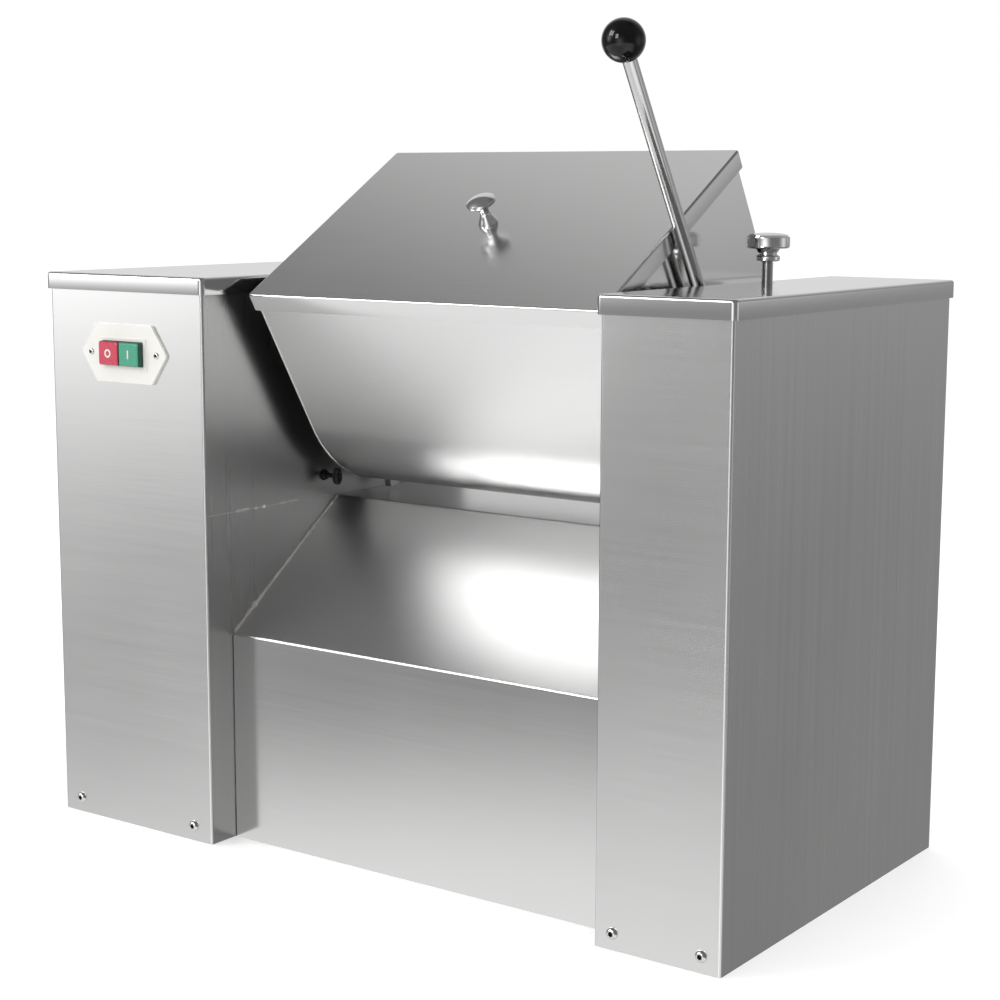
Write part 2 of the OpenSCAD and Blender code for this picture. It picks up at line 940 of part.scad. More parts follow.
module lock_screw() {
    top = cap_top + lock_rise;
    head = top - lock_head_h;
    cone = head - lock_cone_h;
    collar = cone - lock_collar_h;
    color("lightsteelblue") translate([lock_x, lock_y, 0]) {
        translate([0, 0, pad_z + pad_h - pad_nose_l + part_gap]) cylinder(r = pad_nose_r, h = pad_nose_l);
        translate([0, 0, pad_z + pad_h + part_gap]) cylinder(r = lock_r, h = cone - pad_z - pad_h);
        translate([0, 0, collar]) cylinder(r = lock_collar_r, h = lock_collar_h);
        translate([0, 0, cone]) cylinder(r1 = lock_cone_r, r2 = lock_collar_r, h = lock_cone_h);
        translate([0, 0, head]) {
            cylinder(r1 = lock_head_d / 2 - lock_chamfer, r2 = lock_head_d / 2, h = lock_chamfer);
            translate([0, 0, lock_chamfer]) cylinder(r = lock_head_d / 2, h = lock_head_h - 2 * lock_chamfer);
            translate([0, 0, lock_head_h - lock_chamfer]) {
                cylinder(r1 = lock_head_d / 2, r2 = lock_head_d / 2 - lock_chamfer, h = lock_chamfer);
            }
        }
    }
}

// Motor
module motor_housing() {
    color("steelblue") difference() {
        union() {
            along_x(motor_front + shield_t, motor_len) translate([motor_y, motor_z]) {
                circle(motor_r);
                for (i = [0:fin_count - 1]) rotate((i + 1 / 2) * 360 / fin_count) {
                    translate([motor_r - tube_wall / 2, -fin_t / 2]) square([fin_h + tube_wall / 2, fin_t]);
                }
            }
            for (s = [-1, 1]) {
                y = motor_y + s * motor_foot_y;
                x = motor_front + shield_t + (motor_len - foot_l) / 2;
                block([x, y - bar_w / 2, rail + bar_t], [x + foot_l, y + bar_w / 2, rail + bar_t + foot_t]);
                along_x(x, foot_l) translate([motor_y + s * foot_web_y - foot_t / 2, rail + bar_t]) {
                    square([foot_t, motor_h - motor_r / 2]);
                }
            }
        }
        ring_x(motor_front, motor_len + 2 * shield_t, motor_y, motor_z, motor_r - tube_wall);
    }
}

module motor_stator() {
    x = motor_front + shield_t + stator_end;
    color("peru") ring_x(
        x, motor_len - 2 * stator_end, motor_y, motor_z,
        motor_r - tube_wall - snug, stator_r
    );
}

module motor_end_shields() {
    color("steelblue") for (x = [motor_front, motor_x1]) {
        ring_x(x, shield_t, motor_y, motor_z, shield_r, motor_shaft_d / 2 + run);
    }
}

module motor_fan_cover() {
    x = motor_x1 + shield_t;
    color("#303030") difference() {
        union() {
            ring_x(x, cover_len, motor_y, motor_z, cover_r, cover_r - cover_t);
            ring_x(x + cover_len - cover_t, cover_t, motor_y, motor_z, cover_r);
            ring_x(x, cover_t, motor_y, motor_z, cover_r, shield_r - cover_t);
        }
        along_x(x + cover_len - cover_t - over, cover_t + 2 * over) translate([motor_y, motor_z]) {
            for (i = [0:slot_count - 1]) rotate(i * 360 / slot_count) {
                translate([slot_r0, -slot_w / 2]) square([slot_r1 - slot_r0, slot_w]);
            }
        }
    }
}

module motor_terminal_box() {
    x0 = motor_front + shield_t + (motor_len - box_l) / 2;
    z0 = motor_z + motor_r + fin_h - box_sink;
    color("#303030") difference() {
        block([x0, motor_y - box_w / 2, z0], [x0 + box_l, motor_y + box_w / 2, z0 + box_h]);
        block(
            [x0 + box_wall, motor_y - box_w / 2 + box_wall, z0 + box_sink + box_wall],
            [x0 + box_l - box_wall, motor_y + box_w / 2 - box_wall, z0 + box_h - box_wall]
        );
        ring_x(x0 - over, box_l + 2 * over, motor_y, motor_z, motor_r + fin_h + part_gap);
    }
}

module motor_shaft() {
    x0 = pulley_x - shaft_past_pulley;
    x1 = motor_x1 + shield_t + fan_gap + fan_t;
    color("silver") {
        ring_x(x0, x1 - x0, motor_y, motor_z, motor_shaft_d / 2);
        ring_x(
            motor_front + shield_t + stator_end, motor_len - 2 * stator_end,
            motor_y, motor_z, stator_r - air_gap
        );
    }
}

module motor_fan() {
    x = motor_x1 + shield_t + fan_gap;
    color("#303030") difference() {
        union() {
            ring_x(x, fan_t, motor_y, motor_z, fan_hub_r);
            ring_x(x, fan_blade_t, motor_y, motor_z, fan_r);
            along_x(x, fan_t) translate([motor_y, motor_z]) for (i = [0:fan_blades - 1]) {
                rotate(i * 360 / fan_blades) {
                    translate([fan_hub_r / 2, -fan_blade_t / 2]) square([fan_r - fan_hub_r / 2, fan_blade_t]);
                }
            }
        }
        ring_x(x - over, fan_t + 2 * over, motor_y, motor_z, motor_shaft_d / 2 + snug);
    }
}

// A grooved pulley with a rim, a web and a hub
module pulley(x, y, z, belt_r, hub_r, bore_r) {
    mid = pulley_w / 2;
    half = belt_w / 2 + belt_play;
    r_out = belt_r + rim_lip;
    r_in = belt_r - belt_h - belt_play;
    translate([x, y, z]) rotate([90, 0, 90]) rotate_extrude() {
        polygon([
            [r_in - pulley_rim, 0], [r_out, 0], [r_out, mid - half], [r_in, mid - half],
            [r_in, mid + half], [r_out, mid + half], [r_out, pulley_w], [r_in - pulley_rim, pulley_w],
        ]);
        translate([bore_r, 0]) square([hub_r - bore_r, pulley_w]);
        translate([bore_r, mid - pulley_web / 2]) square([r_in - pulley_rim / 2 - bore_r, pulley_web]);
    }
}

module large_pulley() {
    web_r = (belt_r_large - belt_h - pulley_rim + pulley_hub_r) / 2;
    color("slategray") difference() {
        pulley(pulley_x, axis_y, counter_z, belt_r_large, pulley_hub_r, counter_r + snug);
        along_x(pulley_x - over, pulley_w + 2 * over) translate([axis_y, counter_z]) {
            for (a = [0:60:300]) translate(web_r * [cos(a), sin(a)]) circle(pulley_hole_r);
        }
    }
}

module motor_pulley() {
    color("slategray") {
        pulley(pulley_x, motor_y, motor_z, belt_r_small, motor_hub_r, motor_shaft_d / 2 + snug);
    }
}

module belt_outline(shrink) {
    lean = asin((belt_r_large - belt_r_small) / (counter_z - motor_z));
    big = [axis_y, counter_z];
    small = [motor_y, motor_z];
    right = [cos(lean), -sin(lean)];
    left = [-cos(lean), -sin(lean)];
    translate(big) circle(belt_r_large - shrink);
    translate(small) circle(belt_r_small - shrink);
    polygon([
        big + (belt_r_large - shrink) * right, big + (belt_r_large - shrink) * left,
        small + (belt_r_small - shrink) * left, small + (belt_r_small - shrink) * right,
    ]);
}

module drive_belt() {
    color("#1c1c1c") along_x(pulley_x + (pulley_w - belt_w) / 2, belt_w) difference() {
        belt_outline(0);
        belt_outline(belt_h);
    }
}

// Trough, drawn upright round its axis
module trough_outline(r) {
    circle(r);
    translate([-r, 0]) square([2 * r, rim_z]);
}

module trough_shell() {
    hem_r = trough_r + lid_over - 2 * lid_sheet;
    hem_h = 2 * trough_sheet;
    color("gainsboro") tilted() along_x(trough_x0 + end_t, trough_x1 - trough_x0 - 2 * end_t) {
        difference() {
            trough_outline(trough_r);
            trough_outline(trough_r - trough_sheet);
            translate([-trough_r, rim_z - over]) square([2 * trough_r, over + over]);
        }
        for (s = [0, 1]) mirror([s, 0]) translate([trough_r - trough_sheet, rim_z - hem_h]) {
            square([hem_r - trough_r + trough_sheet, hem_h]);
        }
    }
}

module trough_end_plates() {
    color("gainsboro") tilted() for (x = [trough_x0, trough_x1 - end_t]) along_x(x, end_t) {
        difference() {
            intersection() {
                trough_outline(trough_r);
                translate([-trough_r, -trough_r]) square([2 * trough_r, trough_r + rim_z - over]);
            }
            circle(seal_r + snug);
        }
    }
}

module trunnions() {
    x0 = plate_l - flange_t - trunnion_end;
    color("silver") {
        ring_x(x0, trough_x0 - x0, axis_y, axis_z, trunnion_r, trunnion_bore_r);
        ring_x(trough_x1, disc_x - trough_x1, axis_y, axis_z, trunnion_r, trunnion_bore_r);
    }
}

module shaft_bushes() {
    x0 = plate_l - flange_t;
    x1 = shaft_end_x;
    color("peru") {
        ring_x(x0, trough_x0 - bush_inset - x0, axis_y, axis_z, trunnion_bore_r - snug, shaft_r + run);
        x2 = trough_x1 + bush_inset;
        ring_x(x2, x1 - x2, axis_y, axis_z, trunnion_bore_r - snug, shaft_r + run);
    }
}

module shaft_seals() {
    color("white") {
        ring_x(trough_x0, end_t, axis_y, axis_z, seal_r, shaft_r + run);
        ring_x(trough_x0 + end_t, seal_flange_t, axis_y, axis_z, seal_flange_r, shaft_r + run);
        ring_x(trough_x1 - end_t, end_t, axis_y, axis_z, seal_r, shaft_r + run);
        x = trough_x1 - end_t - seal_flange_t;
        ring_x(x, seal_flange_t, axis_y, axis_z, seal_flange_r, shaft_r + run);
    }
}

module lock_disc() {
    color("silver") tilted() along_x(disc_x, disc_t) difference() {
        circle(disc_r);
        circle(disc_bore_r);
        for (a = [45:90:315]) translate(disc_screw_pcr * [cos(a), sin(a)]) circle(disc_screw_r + snug);
    }
}

module disc_screws() {
    color("darkslategray") tilted() for (a = [45:90:315]) {
        p = [disc_x + disc_t, disc_screw_pcr * cos(a), disc_screw_pcr * sin(a)];
        translate(p) rotate([0, -90, 0]) {
            dome_screw(disc_screw_r, disc_screw_head_r, disc_screw_head_h, disc_t, disc_screw_r / 2);
        }
    }
}

module stop_ear() {
    color("silver") tilted() along_x(trough_x0 - ear_t, ear_t) rotate(-ear_angle - tilt_rest) {
        translate([-ear_w / 2, -ear_tip]) square([ear_w, ear_tip - ear_r0]);
    }
}

// Lever
module on_lever() {
    translate([lever_x, 0, 0]) rotate([lever_lean, 0, 0]) children();
}

module lever_hub() {
    color("silver") tilted() difference() {
        union() {
            along_x(lever_x - hub_w / 2, hub_w) circle(hub_r);
            on_lever() cylinder(r = hub_boss_r, h = hub_boss_top);
        }
        along_x(lever_x - hub_w, 2 * hub_w) circle(trunnion_r + snug);
        on_lever() translate([0, 0, rod_seat]) cylinder(r = lever_d / 2 + snug, h = hub_boss_top);
    }
}

module lever_rod() {
    color("silver") tilted() on_lever() {
        translate([0, 0, rod_seat]) cylinder(r = lever_d / 2, h = lever_reach - ball_flat - rod_seat);
        translate([0, 0, lever_reach - ball_flat]) cylinder(r = rod_tip_r, h = rod_tip_l);
    }
}

module lever_ball() {
    color("#101010") tilted() on_lever() translate([0, 0, lever_reach]) difference() {
        sphere(d = ball_d);
        translate([0, 0, -ball_d]) cylinder(r = ball_d, h = ball_d - ball_flat);
        translate([0, 0, -ball_flat - over]) cylinder(r = rod_tip_r + snug, h = ball_hole + over);
    }
}

// Lid
module lid_panel() {
    w = trough_x1 - trough_x0 + 2 * lid_end;
    d = 2 * (trough_r + lid_over);
    color("silver") tilted() translate([mid_x, 0, lid_rise - lid_lip]) difference() {
        linear_extrude(lid_lip) round_rect(w, d, case_bend);
        translate([0, 0, -over]) linear_extrude(lid_lip - lid_sheet + over) {
            round_rect(w - 2 * lid_sheet, d - 2 * lid_sheet, case_bend - lid_sheet);
        }
        cylinder(r = knob_stud_r + snug, h = lid_lip + over);
    }
}

module lid_knob() {
    head = knob_h - knob_head_h;
    color("lightsteelblue") tilted() translate([mid_x, 0, lid_rise]) {
        translate([0, 0, -knob_stud_l]) cylinder(r = knob_stud_r, h = knob_stud_l);
        rotate_extrude() polygon([
            [0, 0], [knob_flange_r, 0], [knob_flange_r, knob_flange_h / 2],
            [knob_neck_r, knob_flange_h * 2], [knob_neck_r, head / 2],
            [knob_neck_r * 1.6, head], [knob_d / 2 - knob_edge / 2, head + knob_edge / 2],
            [knob_d / 2, head + knob_edge], [knob_d / 2 - knob_edge / 2, head + 2 * knob_edge],
            [knob_d / 4, knob_h - knob_edge / 6], [0, knob_h],
        ]);
    }
}

module lid_knob_nut() {
    under = lid_rise - lid_sheet;
    color("silver") tilted() translate([mid_x, 0, 0]) difference() {
        union() {
            translate([0, 0, under - washer_t]) cylinder(r = washer_r, h = washer_t);
            translate([0, 0, under - washer_t - nut_h]) cylinder(r = nut_r, h = nut_h, $fn = 6);
        }
        translate([0, 0, under - knob_stud_l - nut_h]) cylinder(r = knob_stud_r + snug, h = knob_stud_l + nut_h + over);
    }
}

// Paddle shaft with its arms, each turned from the last
module paddle_shaft() {
    x0 = outer_x - bearing_t;
    x1 = gear_x - part_gap;
    color("silver") {
        ring_x(x0, x1 - x0, axis_y, axis_z, journal_r);
        ring_x(x1, shaft_end_x - x1, axis_y, axis_z, shaft_r);
    }
}

module arm_places() {
    for (i = [0:arm_count - 1]) {
        x = mid_x + (i - (arm_count - 1) / 2) * arm_step;
        tilted() translate([x, 0, 0]) rotate([arm_first + i * arm_turn, 0, 0]) children();
    }
}

module blade_solids() {
    intersection() {
        ring_x(trough_x0, trough_x1 - trough_x0, axis_y, axis_z, blade_out);
        arm_places() rotate([0, 0, blade_pitch]) translate([0, 0, blade_out - blade_h / 2]) {
            cube([blade_l, blade_t, blade_h], center = true);
        }
    }
}

module paddle_arms() {
    color("silver") difference() {
        arm_places() cylinder(r = arm_d / 2, h = blade_out - blade_h / 4);
        ring_x(trough_x0, trough_x1 - trough_x0, axis_y, axis_z, shaft_r);
        blade_solids();
    }
}

module paddle_blades() {
    color("silver") blade_solids();
}

// Gears: involute flanks, drawn with a tooth along +X
pressure = 20;
backlash = 0.15;
addendum_share = 0.95;
dedendum_share = 1.25;
flank_steps = 3;
function involute(base, r) = r <= base ? 0 : sqrt(pow(r / base, 2) - 1) * 180 / PI - acos(base / r);
function half_angle(teeth, pitch, base, r) =
    90 / teeth - backlash / pitch * 90 / PI + involute(base, pitch) - involute(base, r);

module gear_outline(teeth) {
    pitch = gear_module * teeth / 2;
    base = pitch * cos(pressure);
    root = pitch - gear_module * dedendum_share;
    tip = pitch + gear_module * addendum_share;
    low = max(base, root);
    radii = concat(low > root ? [root] : [], [for (k = [0:flank_steps]) low + (tip - low) * k / flank_steps]);
    flank = [for (r = radii) [r, half_angle(teeth, pitch, base, r)]];
    count = len(flank);
    tooth = concat(
        [for (k = [0:count - 1]) [flank[k][0], -flank[k][1]]],
        [for (k = [0:count - 1]) flank[count - 1 - k]]
    );
    polygon([
        for (i = [0:teeth - 1], p = tooth) p[0] * [cos(p[1] + i * 360 / teeth), sin(p[1] + i * 360 / teeth)],
    ]);
}

module drive_gear() {
    color("slategray") along_x(gear_x, gear_w) translate([axis_y, axis_z]) difference() {
        rotate(-90) gear_outline(gear_teeth);
        circle(shaft_r + snug);
    }
}

module pinion() {
    color("slategray") along_x(gear_x, gear_w) translate([axis_y, counter_z]) difference() {
        rotate(90 + 180 / pinion_teeth) gear_outline(pinion_teeth);
        circle(counter_r + snug);
    }
}

module countershaft() {
    x0 = pulley_x - shaft_past_pulley;
    color("silver") ring_x(x0, in_l1 - part_gap - x0, axis_y, counter_z, counter_r);
}

base_x_rails();
base_y_rails();
frame_uprights();
frame_top_rails();
motor_bars();
left_bearing_plate();
right_bearing_plate();
outer_bearing_plate();
plate_spacers();
left_casing();
right_casing();
left_cap();
right_cap();
apron_panel();
rear_panel();
casing_screws();
tilt_stops();
trunnion_housings();
trunnion_bushes();
bearing_bolts();
shaft_bearings();
switch_plate();
switch_body();
switch_screws();
cable_gland();
lock_bracket();
motor_housing();
motor_stator();
motor_end_shields();
motor_fan_cover();
motor_terminal_box();
drive_belt();
trough_shell();
trough_end_plates();
trunnions();
shaft_bushes();
shaft_seals();
lock_disc();
disc_screws();
lever_hub();
lever_rod();
lever_ball();
stop_ear();
lid_panel();
lid_knob();
lid_knob_nut();
paddle_shaft();
paddle_arms();
paddle_blades();
drive_gear();
countershaft();
pinion();
large_pulley();
motor_shaft();
motor_fan();
motor_pulley();
lock_screw();
lock_pad();
start_button();
stop_button();
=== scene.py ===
import json
import math

import bmesh
import bpy
from mathutils import Matrix, Vector, noise


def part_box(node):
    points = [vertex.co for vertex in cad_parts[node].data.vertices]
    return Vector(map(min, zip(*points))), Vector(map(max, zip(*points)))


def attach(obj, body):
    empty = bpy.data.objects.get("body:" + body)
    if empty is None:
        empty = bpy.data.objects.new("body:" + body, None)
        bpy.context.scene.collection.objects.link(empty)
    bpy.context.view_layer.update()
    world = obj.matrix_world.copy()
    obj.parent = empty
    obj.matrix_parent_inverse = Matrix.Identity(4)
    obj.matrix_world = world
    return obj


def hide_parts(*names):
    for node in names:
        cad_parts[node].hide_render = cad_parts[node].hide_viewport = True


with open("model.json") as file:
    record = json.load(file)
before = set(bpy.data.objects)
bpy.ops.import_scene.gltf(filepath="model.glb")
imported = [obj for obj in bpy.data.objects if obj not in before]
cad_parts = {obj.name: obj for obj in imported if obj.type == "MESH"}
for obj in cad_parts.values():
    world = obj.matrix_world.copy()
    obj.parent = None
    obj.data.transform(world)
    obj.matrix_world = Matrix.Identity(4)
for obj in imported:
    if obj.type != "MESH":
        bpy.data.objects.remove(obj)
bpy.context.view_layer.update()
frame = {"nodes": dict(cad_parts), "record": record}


# Casings of the two pedestals.
# Each is one stainless sheet, brushed along its length, folded round the frame at four bends
# and held at the foot by screws. The bends catch the light as thin bright lines.
class Wire:
    """A socket of a material, on which sums and products add their Math nodes."""

    def __init__(self, shader, socket):
        self.shader = shader
        self.socket = socket

    def math(self, operation, first, second):
        return self.shader.node("Math", {"operation": operation}, {0: first, 1: second})

    def __add__(self, other):
        return self.math("ADD", self, other)

    def __radd__(self, other):
        return self.math("ADD", other, self)

    def __sub__(self, other):
        return self.math("SUBTRACT", self, other)

    def __rsub__(self, other):
        return self.math("SUBTRACT", other, self)

    def __mul__(self, other):
        return self.math("MULTIPLY", self, other)

    def __rmul__(self, other):
        return self.math("MULTIPLY", other, self)

    def power(self, other):
        return self.math("POWER", self, other)


class Shader:
    """A node tree of a material or of the world."""

    def __init__(self, name, tree=None):
        self.material = None
        if tree is None:
            self.material = bpy.data.materials.new(name)
            self.material.use_nodes = True
            tree = self.material.node_tree
        tree.nodes.clear()
        self.tree = tree

    def node(self, kind, settings=None, sockets=None, out=0):
        made = self.tree.nodes.new("ShaderNode" + kind)
        for key, value in (settings or {}).items():
            if key == "stops":
                stops = made.color_ramp.elements
                while len(stops) < len(value):
                    stops.new(0.5)
                for stop, (place, shade) in zip(stops, value):
                    stop.position = place
                    stop.color = (*shade, 1)
            else:
                setattr(made, key, value)
        for key, value in (sockets or {}).items():
            if isinstance(value, Wire):
                self.tree.links.new(value.socket, made.inputs[key])
            else:
                made.inputs[key].default_value = value
        if not made.outputs:
            return None
        return Wire(self, made.outputs[out])

    def places(self, scale, turn=(0, 0, 0)):
        """Object coordinates, stretched and turned."""
        spot = self.node("TexCoord", out=3)
        return self.node("Mapping", None, {"Vector": spot, "Scale": scale, "Rotation": turn})

    def noise(self, scale, detail=2.0, stretch=(1, 1, 1), turn=(0, 0, 0)):
        spot = self.places(stretch, turn)
        return self.node("TexNoise", None, {"Vector": spot, "Scale": scale, "Detail": detail})

    def ramp(self, value, *stops):
        greys = [(place, (shade, shade, shade)) for place, shade in stops]
        return self.node("ValToRGB", {"stops": greys}, {0: value})

    def blend(self, mask, first, second, mode="MIX"):
        settings = {"data_type": "RGBA", "blend_type": mode}
        return self.node("Mix", settings, {0: mask, 6: first, 7: second}, out=2)

    def bump(self, height, strength, distance):
        return self.node("Bump", None, {"Height": height, "Strength": strength, "Distance": distance})

    def surface(self, **sockets):
        named = {key.replace("_", " "): value for key, value in sockets.items()}
        skin = self.node("BsdfPrincipled", None, named)
        self.node("OutputMaterial", None, {"Surface": skin})
        return self.material


ALONG = 0.012
GRAIN = {"x": (ALONG, 1, 1), "y": (1, ALONG, 1), "z": (1, 1, ALONG)}
STEEL_TINT = (1, 0.998, 0.994)
FINE_LINES = 800
WIDE_LINES = 140
CLOUDS = 4


def brushed(name, tone, rough, grain="x", lines=0.05, turn=(0, 0, 0), smudge=0.05, finest=0.6):
    """Brushed stainless sheet: fine lines along one axis, and a soft unevenness of the polish."""
    s = Shader(name)
    fine = s.noise(FINE_LINES, 3, GRAIN[grain], turn)
    wide = s.noise(WIDE_LINES, 2, GRAIN[grain], turn)
    cloud = s.noise(CLOUDS, 2)
    streaks = (fine * finest + wide * (1 - finest) - 0.5) * 2
    light = 1 + streaks * lines + (cloud - 0.5) * (2 * smudge)
    dark = tuple(tone * part * 0.5 for part in STEEL_TINT)
    bright = tuple(tone * part * 1.5 for part in STEEL_TINT)
    colour = s.blend(light - 0.5, (*dark, 1), (*bright, 1))
    gloss = rough + streaks * (0.6 * lines) + (cloud - 0.5) * 0.04
    relief = s.bump(fine, 0.02, 0.0001)
    return s.surface(Base_Color=colour, Metallic=1.0, Roughness=gloss, Normal=relief)


def paint(name, material):
    """Gives a CAD node its finish."""
    for slot in frame["nodes"][name].material_slots:
        slot.material = material


def record_slot(name):
    rows = frame["record"]["subparts"]
    return next(row["material_slot"] for row in rows if row["node"] == name)


def body_of(name):
    bodies = frame["record"]["behaviour"]["bodies"]
    return next(body for body, members in bodies.items() if name in members)


def place(piece, *nodes, body=None):
    """A finished piece rides on its body, and stands for the nodes that it replaces."""
    even = piece.modifiers.new("flat faces stay flat", "WEIGHTED_NORMAL")
    even.keep_sharp = True
    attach(piece, body or body_of(nodes[0]))
    if nodes:
        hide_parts(*nodes)
        record_slot(nodes[0])
    return piece


def smooth(mesh, degrees=32):
    for face in mesh.polygons:
        face.use_smooth = True
    mesh.set_sharp_from_angle(angle=math.radians(degrees))


MERGE_GAP = 1e-6
SAME_PLANE = math.radians(0.1)


def joined_copy(name, piece_name, material, degrees=32):
    """The node's own shape with its triangles joined, so that its round faces shade smoothly."""
    bm = bmesh.new()
    bm.from_mesh(frame["nodes"][name].data)
    bmesh.ops.remove_doubles(bm, verts=bm.verts, dist=MERGE_GAP)
    bmesh.ops.dissolve_limit(bm, angle_limit=SAME_PLANE, verts=bm.verts, edges=bm.edges)
    return finished(bm, piece_name, material, degrees)


def finished(bm, piece_name, material, degrees=32):
    """The mesh that was built becomes an object at the origin."""
    mesh = bpy.data.meshes.new(piece_name)
    bm.to_mesh(mesh)
    bm.free()
    mesh.materials.append(material)
    smooth(mesh, degrees)
    piece = bpy.data.objects.new(piece_name, mesh)
    bpy.context.scene.collection.objects.link(piece)
    return piece


ALIGNED = 0.9
SIDE_SLOT = 1
INNER_SLOT = 2
casing_steel = brushed("brushed casing sheet", 0.72, 0.24, "x", 0.05)
side_steel = brushed("brushed side sheet", 0.68, 0.26, "z", 0.07, finest=0.2)
# The left casing's inner face, seen in the gap beside the trough, gets a much darker tone than the
# rest of the sheet: painted shade.
inner_wall_painted_shade = brushed("inner wall in painted shade", 0.48, 0.28, "z", 0.04, finest=0.2)
left_sheet = joined_copy("left_casing", "left_casing_sheet", casing_steel)
left_sheet.data.materials.append(side_steel)
left_sheet.data.materials.append(inner_wall_painted_shade)
for face in left_sheet.data.polygons:
    if abs(face.normal.x) > ALIGNED:
        face.material_index = INNER_SLOT if face.normal.x > 0 else SIDE_SLOT
place(left_sheet, "left_casing")
right_sheet = joined_copy("right_casing", "right_casing_sheet", casing_steel)
right_sheet.data.materials.append(side_steel)
for face in right_sheet.data.polygons:
    if abs(face.normal.x) > ALIGNED:
        face.material_index = SIDE_SLOT
place(right_sheet, "right_casing")


# Tops of the pedestals.
# Each is a stainless tray of 1.5 mm sheet, folded down round all four sides and polished brighter
# than the casings. The folded edge is round, and the corners are welded and ground.
def scaled_box(low, high):
    """A box between two corners, as a new bmesh."""
    bm = bmesh.new()
    size = high - low
    bmesh.ops.create_cube(bm, size=1)
    bmesh.ops.scale(bm, vec=size, verts=bm.verts)
    bmesh.ops.translate(bm, vec=(low + high) / 2, verts=bm.verts)
    return bm


def bevelled(bm, edges, radius, steps):
    bmesh.ops.bevel(
        bm, geom=edges, offset=radius, offset_type="OFFSET", segments=steps,
        profile=0.5, affect="EDGES", material=-1, clamp_overlap=False,
    )


CORNER_STEPS = 6
BEND_STEPS = 5
HOLE_STEPS = 32
RIM_SLICE = 1e-5


def tray(low, high, corner, bend):
    """The outer skin of a tray that lies upside down: open below, with round corners and edges."""
    bm = scaled_box(low, high)
    bottom = [f for f in bm.faces if f.normal.z < -0.5]
    bmesh.ops.delete(bm, geom=bottom, context="FACES_ONLY")
    runs = [(e, (e.verts[0].co - e.verts[1].co).normalized()) for e in bm.edges]
    upright = [e for e, run in runs if abs(run.z) > ALIGNED]
    bevelled(bm, upright, corner, CORNER_STEPS)
    top = high.z - RIM_SLICE
    rim = [e for e in bm.edges if min(v.co.z for v in e.verts) > top and len(e.link_faces) == 2]
    rim = [e for e in rim if min(abs(f.normal.z) for f in e.link_faces) < 0.5]
    bevelled(bm, rim, bend, BEND_STEPS)
    return bm


def thickened(piece, sheet):
    skin = piece.modifiers.new("sheet", "SOLIDIFY")
    skin.thickness = sheet
    skin.offset = -1
    skin.use_even_offset = True
    return piece


def pierced(bm, spot, radius):
    """Cuts a round hole through the flat top at spot."""
    top = max(bm.faces, key=lambda f: f.calc_area() * (f.normal.z > ALIGNED))
    height = top.verts[0].co.z
    border = list(top.edges)
    bmesh.ops.delete(bm, geom=[top], context="FACES_ONLY")
    matrix = Matrix.Translation((spot[0], spot[1], height))
    circle = bmesh.ops.create_circle(bm, segments=HOLE_STEPS, radius=radius, matrix=matrix)
    ring = circle["verts"]
    border += list({e for v in ring for e in v.link_edges})
    bmesh.ops.triangle_fill(bm, use_beauty=True, edges=border, normal=(0, 0, 1))


CAP_SHEET = 0.0015
CAP_CORNER = 0.0055
CAP_BEND = 0.0032
LOCK_SPOT = (0.3075, 0.044)
LOCK_HOLE_R = 0.0075
polished_top = brushed("polished top sheet", 0.78, 0.12, "x", 0.03, smudge=0.03)
for side in ("left", "right"):
    low, high = (Vector(corner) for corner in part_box(side + "_cap"))
    bm = tray(low, high, CAP_CORNER, CAP_BEND)
    if side == "right":
        pierced(bm, LOCK_SPOT, LOCK_HOLE_R)
    shell = finished(bm, side + "_top_tray", polished_top)
    place(thickened(shell, CAP_SHEET), side + "_cap")


# Apron between the pedestals.
# One stainless sheet: a front panel from the floor, a slope that food slides down, and a flat floor
# sheet behind. Its two folds are pressed round a small radius.
def points(geom):
    """The vertices in what an operator returns."""
    return [g for g in geom if isinstance(g, bmesh.types.BMVert)]


APRON_SHEET = 0.0015
APRON_BEND = 0.0017
APRON_FRONT = -0.187
APRON_TOP = 0.223
RIDGE = (-0.014, 0.351)
SLOPE_SLOT = 1
apron_low, apron_high = (Vector(corner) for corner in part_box("apron_panel"))
bm = bmesh.new()
line = [(APRON_FRONT, 0.0), (APRON_FRONT, APRON_TOP), RIDGE, (apron_high.y, RIDGE[1])]
corners = [bm.verts.new((apron_low.x, y, z)) for y, z in line]
edges = [bm.edges.new(pair) for pair in zip(corners, corners[1:])]
swept = bmesh.ops.extrude_edge_only(bm, edges=edges)["geom"]
moved = points(swept)
bmesh.ops.translate(bm, vec=(apron_high.x - apron_low.x, 0, 0), verts=moved)
folds = [e for e in bm.edges if len(e.link_faces) == 2]
bevelled(bm, folds, APRON_BEND, BEND_STEPS)
bmesh.ops.recalc_face_normals(bm, faces=bm.faces)
if max(bm.faces, key=lambda f: f.calc_center_median().z).normal.z < 0:
    bmesh.ops.reverse_faces(bm, faces=bm.faces)
apron_steel = brushed("brushed apron sheet", 0.68, 0.15, "x", 0.04)
slope_steel = brushed("polished slope sheet", 0.74, 0.34, "x", 0.015, smudge=0.03)
apron = finished(bm, "apron_sheet", apron_steel)
apron.data.materials.append(slope_steel)
for face in apron.data.polygons:
    if face.normal.z > 0.3:
        face.material_index = SLOPE_SLOT
place(thickened(apron, APRON_SHEET), "apron_panel")
rear_steel = brushed("brushed rear sheet", 0.66, 0.28, "x", 0.05)
paint("rear_panel", rear_steel)


# Trough.
# A stainless sheet rolled to a half round with straight walls, hemmed along the rim, between two
# polished end plates. The seams at its ends are welded and ground to a thin bright bead.
AXIS = Vector((0, 0.034, 0.506))
TILT = math.radians(31)
TROUGH_R = 0.1385
TROUGH_SHEET = 0.002
END_SHEET = 0.003
LID_RISE = 0.1745
LID_OVER = 0.0057
LID_SHEET = 0.0012
HEM_OUT = LID_OVER - 2 * LID_SHEET
HEM_DOWN = 0.004
LID_PLAY = 0.0003
RIM = LID_RISE - LID_SHEET - LID_PLAY
ROUND_STEPS = 48


